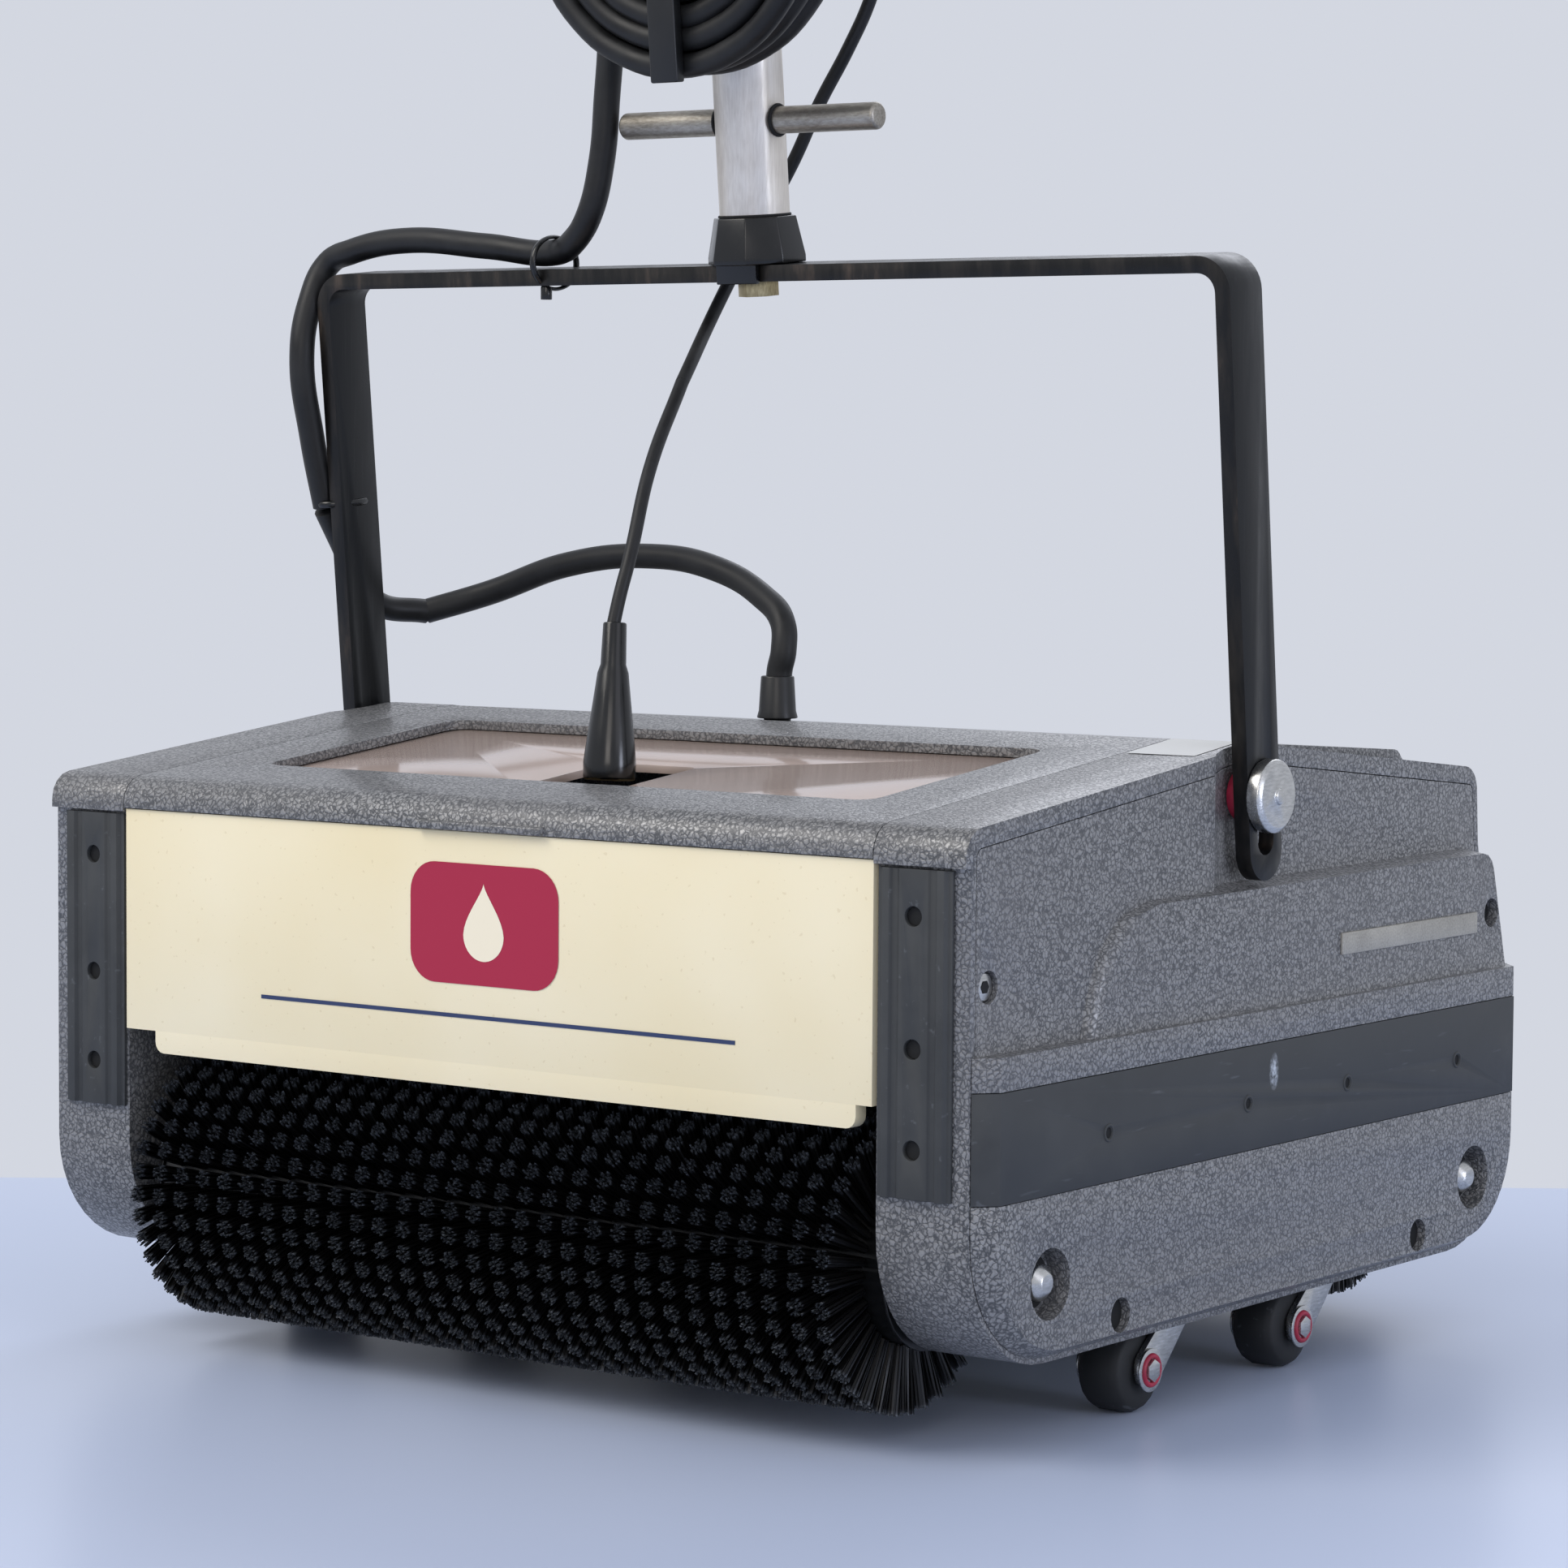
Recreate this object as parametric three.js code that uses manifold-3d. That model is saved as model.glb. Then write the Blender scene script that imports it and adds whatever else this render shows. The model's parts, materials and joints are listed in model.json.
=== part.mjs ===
// Wet dry floor scrubber with two counter-rotating cylinder brushes, as separate parts.
// Millimetres. +Z is up, the clean-water tank faces -Y, and the floor is z = 0.
import * as THREE from 'three';
import { mergeVertices } from 'three/addons/utils/BufferGeometryUtils.js';
import Module from 'manifold-3d';

const wasm = await Module();
wasm.setup();

// ---- Driving dimensions -------------------------------------------------------------------
const GAP = 0.3; // between parts that touch
const RUNNING = 0.4; // radial clearance of a turning part

const CHEEK_INNER = 167; // half width between the side castings
const CHEEK_OUTER = 203; // outer face of a side casting
const RECESS_DEPTH = 6; // how far the upper side steps in, for the bail's legs
const LEDGE_OUT = 7; // how far the lower side stands proud of the casting
const HUMP_OUT = 4; // how far the raised hump stands proud of the casting
const FRONT_Y = -185;
const REAR_Y = 185;
const LIP = 3; // overhang of the rolled front edge
const LIP_Z = 197.5;
const WHEEL_R = 15.5;
const BOTTOM_Z = 2 * WHEEL_R; // the body just clears the castor wheels, which trail out from under their pockets
const HEEL_RADIUS = 45;
const WAIST_Z = 136.4; // top of the ledge along the side
const SHOULDER_Z = 182;
const REAR_TOP_Y = 169;
const RIDGE_Y = -5;
const RIDGE_Z = 229.5;
const FRONT_SLOPE = 0.11;
const REAR_SLOPE = 0.1;
const EDGE_RADIUS = 10;
const RIM = 6.5; // casting's rim seen above the side cover
const WALL = 3;
const PLATE = 4; // inner plate of a side casting
const COVER = 5; // thickness of a side cover's upper panel

const STRIP_LOW = 88.5;
const STRIP_HIGH = 124.9;
const STRIP_THICK = 3.4;
const STRIP_HOOK_Y = 175.7; // where the strip's ends turn in round the ledge

const AXLE_Y = 146.5;
const AXLE_Z = 59;
const AXLE_R = 5;
const BRISTLE_R = 50.5;
const CORE_R = 26;
const CORE_HALF = 163;
const BRISTLE_HALF = 158;
const HUB_R = 9.5;
const POCKET_R = 12;

const BELT_X = -184; // middle of the toothed belt
const BELT_WIDTH = 12;
const BELT_THICK = 3;
const BRUSH_PULLEY_R = 14;
const MOTOR_PULLEY_R = 12;
const IDLER_R = 6;
const IDLER_Y = 170;
const IDLER_Z = 66;

const MOTOR_Y = 36;
const MOTOR_Z = 152;
const MOTOR_R = 42;
const MOTOR_LEFT = -120;
const MOTOR_RIGHT = 92;
const SHAFT_R = 5;

const DRUM_R = 30;
const DRUM_Z = 68;
const TRAY_HALF = 146;

const CASTOR_X = 183;
const CASTOR_FRONT_Y = -42;
const CASTOR_REAR_Y = 62;
const TRAIL = 18; // how far the wheel trails its swivel
const WHEEL_WIDTH = 18;
const CROWN_Z = 2 * WHEEL_R + 2.2;

const TANK_TOP = 198.5;
const TANK_LOW = 118;
const TANK_REAR = -14;
const LID_REAR = -6;
const COVER_FRONT = -3;
const LID_SKIN = 3.5;
const HINGE_Y = -8.5;
const HINGE_Z = 225.2;
const WINDOW_HALF = 136;
const WINDOW_FRONT = -146;
const WINDOW_REAR = -37;
const CUTOUT = { left: -22, right: 18, front: -141, rear: -86 };
const VALVE_X = 4;
const VALVE_Y = -119;

const PIVOT_Y = -8.5;
const PIVOT_Z = 211.5;
const LEAN = THREE.MathUtils.degToRad(5.6);
const BAIL_OUTER = 207.5;
const BAIL_THICK = 6;
const BAIL_WIDE = 21.5;
const BAIL_HIGH = 188.4;
const BAIL_RADIUS = 13;
const SLOT_R = 5.5;
const SLOT_DROP = 15.5; // centre of the slot's lower end below the pivot
const LEG_END = 30;
const BOLT_R = 4;
const DISC_R = 13;
const DISC_THICK = 6;

const TUBE_R = 13;
const TUBE_WALL = 1.8;
const TUBE_TOP = 884;
const BAR_W = 240.5;
const BAR_R = 5;
const BAR_HALF = 58;
const HANK_LOW = 258;
const HANK_R = 66;
const HANK_HOLE_R = 31.5;
const HANK_RUN = 240;
const HANK_FRONT = -45.5;
const HANK_BACK = -18;
const HOOK_WIDE = 12;
const HEAD_LOW = 862;
const HEAD_HIGH = 958;
const GRIP_W = 925;
const GRIP_R = 15.5;
const GRIP_END = 165;
const LEAD_R = 5;
const MAINS_R = 4.5;
const BOWDEN_R = 2.5;

// Routes of the cords. Handle points are measured from the bail's pivot, along the leaning handle.
const MOTOR_LEAD_ROUTE = [
  [-27, 25.5, 246], [-26, 25.6, 250.5], [-24.5, 26, 256], [-29.5, 30, 265], [-41, 34, 274], [-69, 40, 284.5], [-104, 44, 288.5],
  [-145, 44, 284.5], [-184, 40, 272], [-206, 28, 264.5], [-215, 8, 268], [-214, -6, 281], [-213.4, -16, 294],
  [-213.3, -24.3, 305],
];
const LEG_LEAD_ROUTE = [
  [-213.3, -7.6, 98.3], [-213.3, -12.4, 124.3], [-213.3, -15.3, 156.7], [-213.3, -8, 178], [-210, 0, 192],
  [-198, 0, 196.5], [-169, 0, 200.4], [-128, -0.3, 197.4], [-94, -0.5, 194.5], [-82, -5, 198.5], [-72, -7.2, 208.2],
  [-66, -5.3, 228.1], [-63.5, -3, 252], [-62, -0.9, 273], [-61, -1, 310], [-58, -2.3, 380], [-52, -3.6, 491],
  [-44, -3.9, 642], [-36, -2.1, 772], [-33, 0.5, 860.6],
];
const BOWDEN_ROUTE = [
  [1.3, -112.6, 271], [0.9, -104, 291], [-5.6, -84, 323], [-15.5, -52, 355], [-26, -12, 390], [-15, -8, 412],
  [0, -6, 436], [13, -6, 459], [25.5, -6, 478], [35, -6, 495], [45, -8, 520], [60, -14, 600], [62, -25, 700],
  [56, -45, 820], [44, -70, 930], [34, -84, 1010], [30, -84.5, 1068.4],
];
const MAINS_ROUTE = [
  [-20, -18, 861.4], [-20.5, -19, 840], [-22, -22, 800], [-30, -29, 720], [-39, -31, 665], [-38, -31.7, 640],
  [-36, -31.7, 621.5],
];

// ---- Shapes -------------------------------------------------------------------------------
const ARC_STEP = THREE.MathUtils.degToRad(22.5);
const FINE_STEP = THREE.MathUtils.degToRad(9); // for the body's and the bail's outlines
const REACH = 600; // longer than any part that a cutter passes through
const AXES = { x: 0, y: 1, z: 2 };

// A closed geometry as a Manifold, with its faces turned outwards.
function solid(geometry) {
  const bare = geometry.clone();
  for (const name of Object.keys(bare.attributes)) if (name !== 'position') bare.deleteAttribute(name);
  const merged = mergeVertices(bare, 1e-4);
  const p = merged.attributes.position;
  const triangles = [];
  let volume = 0;
  const [a, b, c] = [new THREE.Vector3(), new THREE.Vector3(), new THREE.Vector3()];
  for (let i = 0; i < merged.index.count; i += 3) {
    const [i0, i1, i2] = [0, 1, 2].map((k) => merged.index.getX(i + k));
    if (i0 === i1 || i1 === i2 || i2 === i0) continue;
    triangles.push([i0, i1, i2]);
    a.fromBufferAttribute(p, i0);
    b.fromBufferAttribute(p, i1);
    c.fromBufferAttribute(p, i2);
    volume += a.dot(b.cross(c));
  }
  const triVerts = Uint32Array.from(triangles.flatMap((t) => (volume < 0 ? [t[0], t[2], t[1]] : t)));
  return new wasm.Manifold(new wasm.Mesh({ numProp: 3, vertProperties: p.array, triVerts }));
}

function join(first, ...others) {
  return others.reduce((whole, next) => whole.add(next), first);
}

function cut(whole, ...tools) {
  return tools.reduce((left, tool) => left.subtract(tool), whole);
}

function moved(shape, x, y, z) {
  return shape.translate([x, y, z]);
}

// The outline through the corners [a, b, radius], with each corner rounded by its radius.
function outline(corners, arcStep = ARC_STEP) {
  const points = [];
  corners.forEach(([x, y, radius = 0], i) => {
    const here = new THREE.Vector2(x, y);
    const back = new THREE.Vector2(...corners.at(i - 1)).sub(here).normalize();
    const on = new THREE.Vector2(...corners[(i + 1) % corners.length]).sub(here).normalize();
    const half = Math.acos(THREE.MathUtils.clamp(back.dot(on), -1, 1)) / 2;
    if (radius <= 0 || Math.abs(half - Math.PI / 2) < 1e-3) {
      points.push(here);
      return;
    }
    const centre = here.clone().add(back.clone().add(on).normalize().multiplyScalar(radius / Math.sin(half)));
    const start = here.clone().addScaledVector(back, radius / Math.tan(half)).sub(centre);
    const turn = Math.PI - 2 * half;
    const steps = Math.max(1, Math.round(turn / arcStep));
    const side = Math.sign(on.cross(back)) || 1;
    for (let k = 0; k <= steps; k += 1) {
      points.push(start.clone().rotateAround(new THREE.Vector2(), (side * turn * k) / steps).add(centre));
    }
  });
  return points;
}

function circle(x, y, radius, sides = 24) {
  const turn = (k) => (2 * Math.PI * k) / sides;
  return Array.from({ length: sides }, (_, k) => (
    new THREE.Vector2(x + radius * Math.cos(turn(k)), y + radius * Math.sin(turn(k)))
  ));
}

function rectangle(x0, x1, y0, y1, radius = 0) {
  return outline([[x0, y0, radius], [x1, y0, radius], [x1, y1, radius], [x0, y1, radius]]);
}

function extruded(points, length, holes = []) {
  const isClockwise = THREE.ShapeUtils.isClockWise;
  const wound = (loop, clockwise) => (isClockwise(loop) === clockwise ? loop : loop.toReversed());
  const shape = new THREE.Shape(wound(points, false));
  shape.holes = holes.map((hole) => new THREE.Path(wound(hole, true)));
  return new THREE.ExtrudeGeometry(shape, { depth: length, bevelEnabled: false });
}

// Prisms: an outline in the plane across an axis, from one place on that axis to another.
function prismX(points, x0, x1, holes = []) {
  const turn = new THREE.Matrix4().makeBasis(
    new THREE.Vector3(0, 1, 0), new THREE.Vector3(0, 0, 1), new THREE.Vector3(1, 0, 0),
  );
  return moved(solid(extruded(points, x1 - x0, holes).applyMatrix4(turn)), x0, 0, 0);
}

function prismY(points, y0, y1, holes = []) {
  return moved(solid(extruded(points, y1 - y0, holes).rotateX(Math.PI / 2)), 0, y1, 0);
}

function prismZ(points, z0, z1, holes = []) {
  return moved(solid(extruded(points, z1 - z0, holes)), 0, 0, z0);
}

function box(x0, x1, y0, y1, z0, z1) {
  return prismZ(rectangle(x0, x1, y0, y1), z0, z1);
}

// A round solid about an axis through a point: the profile is [radius, place along the axis].
function turned(axis, at, profile, sides = 24) {
  const points = profile.map(([r, h]) => new THREE.Vector2(r, h));
  if (profile.at(0)[0] > 0) points.push(points[0].clone());
  const geometry = new THREE.LatheGeometry(points, sides);
  if (axis === 'x') geometry.rotateZ(-Math.PI / 2);
  if (axis === 'z') geometry.rotateX(Math.PI / 2);
  return moved(solid(geometry), ...at);
}

function rod(axis, at, radius, from, to, sides = 24) {
  return turned(axis, at, [[0, from], [radius, from], [radius, to], [0, to]], sides);
}

// A pin with both edges chamfered.
function pin(axis, at, radius, from, to, edge = 1, sides = 24) {
  return turned(axis, at, [
    [0, from], [radius - edge, from], [radius, from + edge], [radius, to - edge], [radius - edge, to], [0, to],
  ], sides);
}

function ring(axis, at, inner, outer, from, to, sides = 24) {
  return turned(axis, at, [[inner, from], [outer, from], [outer, to], [inner, to]], sides);
}

// A solid between two outlines of as many points each, in the planes x0 and x1.
function loftX(outline0, x0, outline1, x1) {
  const n = outline0.length;
  const points = [
    ...outline0.map((p) => [x0, p.x, p.y]),
    ...outline1.map((p) => [x1, p.x, p.y]),
  ];
  const caps = THREE.ShapeUtils.triangulateShape(outline0, []);
  const faces = [
    ...caps.map(([a, b, c]) => [a, c, b]),
    ...THREE.ShapeUtils.triangulateShape(outline1, []).map((t) => t.map((i) => i + n)),
  ];
  for (let i = 0; i < n; i += 1) {
    const j = (i + 1) % n;
    faces.push([i, j, n + j], [i, n + j, n + i]);
  }
  const geometry = new THREE.BufferGeometry();
  geometry.setAttribute('position', new THREE.Float32BufferAttribute(points.flat(), 3));
  geometry.setIndex(faces.flat());
  return solid(geometry);
}

// A tube along a smooth curve through the points.
function cable(points, radius, steps, sides = 10) {
  const path = new THREE.CatmullRomCurve3(points.map((p) => new THREE.Vector3(...p)), false, 'centripetal');
  const section = new THREE.Shape(circle(0, 0, radius, sides));
  return solid(new THREE.ExtrudeGeometry(section, { steps, extrudePath: path, bevelEnabled: false }));
}

function mirrorX(shape) {
  return shape.mirror([1, 0, 0]);
}

// ---- Parts as meshes ----------------------------------------------------------------------
const FINISHES = {
  hammered: { color: 0x6b6e74, roughness: 0.45, metalness: 0.35 },
  cream: { color: 0xf0e5c8, roughness: 0.45, metalness: 0 },
  rubber: { color: 0x3c3f42, roughness: 0.75, metalness: 0 },
  blackPaint: { color: 0x232427, roughness: 0.35, metalness: 0.2 },
  blackPlastic: { color: 0x1b1c1e, roughness: 0.35, metalness: 0 },
  cableBlack: { color: 0x2a2b2d, roughness: 0.55, metalness: 0 },
  bristle: { color: 0x101114, roughness: 0.7, metalness: 0 },
  aluminium: { color: 0xb9b6b0, roughness: 0.35, metalness: 0.9 },
  steel: { color: 0x9a9690, roughness: 0.3, metalness: 1 },
  red: { color: 0xa32440, roughness: 0.5, metalness: 0 },
  window: { color: 0xb89a8a, roughness: 0.1, metalness: 0 },
  castIron: { color: 0x4c4e52, roughness: 0.6, metalness: 0.6 },
};
const machine = new THREE.Group();
const handle = new THREE.Group();
handle.position.set(0, PIVOT_Y, PIVOT_Z);
handle.rotation.x = LEAN;
machine.add(handle);

function add(name, finish, shape, parent = machine) {
  const mesh = shape.getMesh();
  const geometry = new THREE.BufferGeometry();
  geometry.setAttribute('position', new THREE.Float32BufferAttribute(mesh.vertProperties, 3));
  geometry.setIndex(Array.from(mesh.triVerts));
  const part = new THREE.Mesh(geometry, new THREE.MeshStandardMaterial(FINISHES[finish]));
  part.name = name;
  parent.add(part);
}

// ---- Body outline, seen from the side -----------------------------------------------------
function topZ(y) {
  return RIDGE_Z - (y < RIDGE_Y ? FRONT_SLOPE : REAR_SLOPE) * Math.abs(y - RIDGE_Y);
}

// The side outline, drawn in by side at the ends, by low at the bottom and by top at the roof.
function sideOutline(side, low, top) {
  const corner = Math.max(EDGE_RADIUS - top, 2);
  return outline([
    [FRONT_Y + side, BOTTOM_Z + low, HEEL_RADIUS - side],
    [REAR_Y - side, BOTTOM_Z + low, HEEL_RADIUS - side],
    [REAR_Y - side, WAIST_Z, 8],
    [REAR_TOP_Y + 2 - side, SHOULDER_Z, 20],
    [REAR_TOP_Y - side, topZ(REAR_TOP_Y - side) - top, corner],
    [RIDGE_Y, RIDGE_Z - top, 30],
    [FRONT_Y + side, topZ(FRONT_Y + side) - top, corner],
  ], FINE_STEP);
}

const RECESS_OUTER = CHEEK_OUTER - RECESS_DEPTH;
const LEDGE_OUTER = CHEEK_OUTER + LEDGE_OUT;
const HUMP_OUTER = CHEEK_OUTER + HUMP_OUT;
const RECESS_START = -36;
const RECESS_END = -18.5;
// What is taken off the upper side so that it steps in beside the bail's leg, seen from above.
const recessCutter = prismZ(outline([
  [CHEEK_OUTER + 20, RECESS_START - 2, 0], [CHEEK_OUTER + 0.01, RECESS_START - 2, 12],
  [RECESS_OUTER, RECESS_END, 12], [RECESS_OUTER, REACH, 0], [CHEEK_OUTER + 20, REACH, 0],
]), WAIST_Z, REACH);

const castorYs = { front: CASTOR_FRONT_Y, rear: CASTOR_REAR_Y };
const POCKET_TOP = CROWN_Z + 3.6;
const castorPockets = Object.values(castorYs).map((y) => (
  rod('z', [CASTOR_X, y, 0], 16.5, BOTTOM_Z - 5, POCKET_TOP)
));
const axleYs = { front: -AXLE_Y, rear: AXLE_Y };

// ---- Side castings ------------------------------------------------------------------------
function cheek(isDriveSide) {
  const inner = CHEEK_INNER + PLATE;
  const rolledEdge = outline([
    [FRONT_Y - LIP, LIP_Z, 0], [FRONT_Y + 30, LIP_Z, 0], [FRONT_Y + 30, topZ(FRONT_Y + 30), 0],
    [FRONT_Y - LIP, topZ(FRONT_Y - LIP), EDGE_RADIUS],
  ]);
  const rolled = prismX(rolledEdge, CHEEK_INNER, CHEEK_OUTER);
  const body = join(prismX(sideOutline(0, 0, 0), CHEEK_INNER, CHEEK_OUTER), rolled);
  const hollow = prismX(sideOutline(WALL, WALL, RIM), inner, CHEEK_OUTER + 1);
  const boss = rod('x', [0, PIVOT_Y, PIVOT_Z], 11, inner - 1, RECESS_OUTER - COVER - 1);
  const plates = Object.values(castorYs).map((y) => (
    box(inner - 1, CHEEK_OUTER - COVER - 1, y - 19, y + 19, POCKET_TOP, POCKET_TOP + 4)
  ));
  const stems = Object.values(castorYs).map((y) => rod('z', [CASTOR_X, y, 0], 3.9, 0, POCKET_TOP + 10, 20));
  const bores = Object.values(axleYs).map((y) => (
    rod('x', [0, y, AXLE_Z], isDriveSide ? HUB_R + RUNNING + GAP : AXLE_R + GAP, CHEEK_INNER - 5, inner + 5)
  ));
  const shaftHole = rod('x', [0, MOTOR_Y, MOTOR_Z], SHAFT_R + 2, CHEEK_INNER - 5, inner + 5);
  const idlerHole = rod('x', [0, IDLER_Y, IDLER_Z], 3 + RUNNING, CHEEK_INNER - 5, inner + 5, 16);
  const driveHoles = isDriveSide ? [shaftHole, idlerHole] : [];
  const boltHole = rod('x', [0, PIVOT_Y, PIVOT_Z], BOLT_R + GAP, inner, CHEEK_OUTER + 5, 20);
  const shell = join(cut(body, hollow), boss, ...plates);
  return cut(shell, recessCutter, ...castorPockets, ...stems, ...bores, boltHole, ...driveHoles);
}
add('right_cheek', 'hammered', cheek(false));
add('left_cheek', 'hammered', mirrorX(cheek(true)));

// ---- Side covers --------------------------------------------------------------------------
const HUMP_FRONT = -118;
const HUMP_REAR = 178;
const HUMP_TOP = 180.2;
function sideCover() {
  const fit = GAP + 0.05;
  const inside = sideOutline(WALL + fit, WALL + fit, RIM + fit);
  const behind = prismZ(outline([
    [0, -REACH, 0], [CHEEK_OUTER - COVER, -REACH, 0], [CHEEK_OUTER - COVER, RECESS_START - 2, 12],
    [RECESS_OUTER - COVER, RECESS_END, 12], [RECESS_OUTER - COVER, REACH, 0], [0, REACH, 0],
  ]), 0, REACH);
  const plate = prismX(inside, RECESS_OUTER - COVER - 1, CHEEK_OUTER);
  const upper = cut(plate, behind, recessCutter, box(0, REACH, -REACH, REACH, -REACH, WAIST_Z - 10));
  const below = box(0, REACH, -REACH, REACH, -REACH, WAIST_Z);
  const backing = prismX(inside, CHEEK_OUTER - COVER - 0.3, CHEEK_OUTER + 0.4).intersect(below);
  const ledgeFoot = sideOutline(1, 2, 0);
  const ledgeFace = sideOutline(1 + LEDGE_OUT, 2 + LEDGE_OUT / 2, 0);
  const ledge = loftX(ledgeFoot, CHEEK_OUTER + GAP, ledgeFace, LEDGE_OUTER).intersect(below);
  const hump = loftX(
    outline([
      [HUMP_FRONT - 8, 130, 0], [HUMP_REAR + 2, 130, 0], [165, HUMP_TOP + 2, 10], [-113, HUMP_TOP + 0.5, 42],
    ]),
    RECESS_OUTER - 1,
    outline([
      [HUMP_FRONT, 130, 0], [HUMP_REAR - 0.5, 130, 0], [163.5, HUMP_TOP + 0.5, 9], [-106, HUMP_TOP - 2, 38],
    ]),
    HUMP_OUTER,
  );
  const channel = join(
    box(LEDGE_OUTER - STRIP_THICK - 0.1, LEDGE_OUTER + 5, -REACH, REACH, STRIP_LOW - GAP, STRIP_HIGH + GAP),
    box(CHEEK_OUTER + 0.1, LEDGE_OUTER + 5, STRIP_HOOK_Y - GAP, REACH, STRIP_LOW - GAP, STRIP_HIGH + GAP),
    box(CHEEK_OUTER + 0.1, LEDGE_OUTER + 5, -REACH, GAP - STRIP_HOOK_Y, STRIP_LOW - GAP, STRIP_HIGH + GAP),
  );
  const pockets = Object.values(axleYs).map((y) => join(
    rod('x', [0, y, AXLE_Z], POCKET_R, CHEEK_OUTER - 1.5, LEDGE_OUTER + 5),
    rod('x', [0, y, AXLE_Z], AXLE_R + GAP, CHEEK_OUTER - 20, LEDGE_OUTER),
  ));
  const plugs = [-103, 104].map((y) => (
    rod('x', [0, y, 39 + LEDGE_OUT / 2], 6, LEDGE_OUTER - 4, LEDGE_OUTER + 5, 24)
  ));
  const screw = rod('x', [0, FRONT_Y + 10.5, 158.5], 5.5, CHEEK_OUTER - 3.5, CHEEK_OUTER + 5, 24);
  const rearScrew = rod('x', [0, 163.6, 157.7], 5.5, HUMP_OUTER - 5, HUMP_OUTER + 5, 24);
  const boltHole = rod('x', [0, PIVOT_Y, PIVOT_Z], BOLT_R + 1, 0, REACH, 24);
  const holes = [...pockets, ...plugs, screw, rearScrew, boltHole, ...castorPockets];
  return cut(join(upper, backing, ledge, hump), channel, ...holes);
}
const cover = sideCover();
add('right_side_cover', 'hammered', cover);
add('left_side_cover', 'hammered', mirrorX(cover));

function sideStrip() {
  const end = (x) => REAR_Y - 1 - (x - CHEEK_OUTER - GAP) * (LEDGE_OUT / (LEDGE_OUT - GAP)) + 0.2;
  const foot = LEDGE_OUTER - STRIP_THICK + 0.2;
  const wrap = CHEEK_OUTER + GAP;
  const plan = [
    [foot, -STRIP_HOOK_Y], [wrap, -STRIP_HOOK_Y], [wrap, -end(wrap)], [LEDGE_OUTER + 0.2, -end(LEDGE_OUTER)],
    [LEDGE_OUTER + 0.2, end(LEDGE_OUTER)], [wrap, end(wrap)], [wrap, STRIP_HOOK_Y], [foot, STRIP_HOOK_Y],
  ];
  const holes = [-112, -21, 49, 132].map((y) => (
    rod('x', [0, y, STRIP_LOW + 16.5], 1.9, 0, LEDGE_OUTER + 5, 12)
  ));
  return cut(prismZ(plan.map((p) => new THREE.Vector2(...p)), STRIP_LOW, STRIP_HIGH), ...holes);
}
const strip = sideStrip();
add('right_side_strip', 'rubber', strip);
add('left_side_strip', 'rubber', mirrorX(strip));

// ---- Corner bumpers: ribbed rubber pads ---------------------------------------------------
function bumper(face, out, low, high, holeZs) {
  const ribs = [
    [168, 0], [197, 0], [197, 1.2], [195.4, 1.2], [194.6, 2.8], [191.8, 2.8], [191, 1.6], [189, 1.6], [188.2, 2.3],
    [176.8, 2.3], [176, 1.6], [174, 1.6], [173.2, 2.8], [170.4, 2.8], [169.6, 1.2], [168, 1.2],
  ];
  const plan = ribs.map(([x, d]) => new THREE.Vector2(x, face + out * (d + GAP)));
  const pad = prismZ(plan, low, high);
  return cut(pad, ...holeZs.map((z) => rod('y', [182.4, 0, z], 3.3, face - 5, face + 5, 20)));
}
const frontBumper = bumper(FRONT_Y, -1, 89, 196.5, [181.1, 138, 105.1]);
const rearBumper = bumper(REAR_Y, 1, 78, 132, [121, 89]);
for (const [place, pad] of Object.entries({ front: frontBumper, rear: rearBumper })) {
  add(`${place}_bumper_right`, 'rubber', pad);
  add(`${place}_bumper_left`, 'rubber', mirrorX(pad));
}

// ---- Centre frame between the side castings -----------------------------------------------
const INNER_HALF = CHEEK_INNER - GAP;
const SHIELD_R = BRISTLE_R + 5;
const SHIELD_WALL = 3.5;
const SHIELD_FOOT = THREE.MathUtils.degToRad(-15);
const DECK_Z = 103.53;
const shieldTop = Math.asin((DECK_Z - AXLE_Z) / (SHIELD_R + SHIELD_WALL)); // where a shield meets the deck
const shieldInnerY = AXLE_Y - SHIELD_R - SHIELD_WALL;
function shieldOutline(side) {
  const angles = Array.from({ length: 9 }, (_, k) => THREE.MathUtils.lerp(SHIELD_FOOT, shieldTop, k / 8));
  const at = (r, a) => new THREE.Vector2(side * (AXLE_Y - r * Math.cos(a)), AXLE_Z + r * Math.sin(a));
  return [
    ...angles.map((a) => at(SHIELD_R, a)),
    ...angles.toReversed().map((a) => at(SHIELD_R + SHIELD_WALL, a)),
  ];
}
const deckReach = AXLE_Y - SHIELD_R * Math.cos(shieldTop - THREE.MathUtils.degToRad(4));
function chassisFrame() {
  const deck = box(-INNER_HALF, INNER_HALF, -deckReach, deckReach, DECK_Z - 4, DECK_Z);
  const shields = [-1, 1].map((side) => prismX(shieldOutline(side), -INNER_HALF, INNER_HALF));
  const endReach = shieldInnerY - 1.5;
  const ends = [-INNER_HALF, INNER_HALF - 3].map((x) => box(x, x + 3, -endReach, endReach, 42, DECK_Z - 2));
  const saddles = [-95, 62].map((x) => box(x, x + 10, MOTOR_Y - 34, MOTOR_Y + 34, DECK_Z - 1, MOTOR_Z - 14));
  return cut(
    join(deck, ...shields, ...ends, ...saddles),
    rod('x', [0, MOTOR_Y, MOTOR_Z], MOTOR_R + GAP, -REACH, REACH, 48),
    rod('x', [0, 0, DRUM_Z], 4 + RUNNING, -REACH, REACH, 20),
  );
}
add('centre_frame', 'castIron', chassisFrame());

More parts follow.
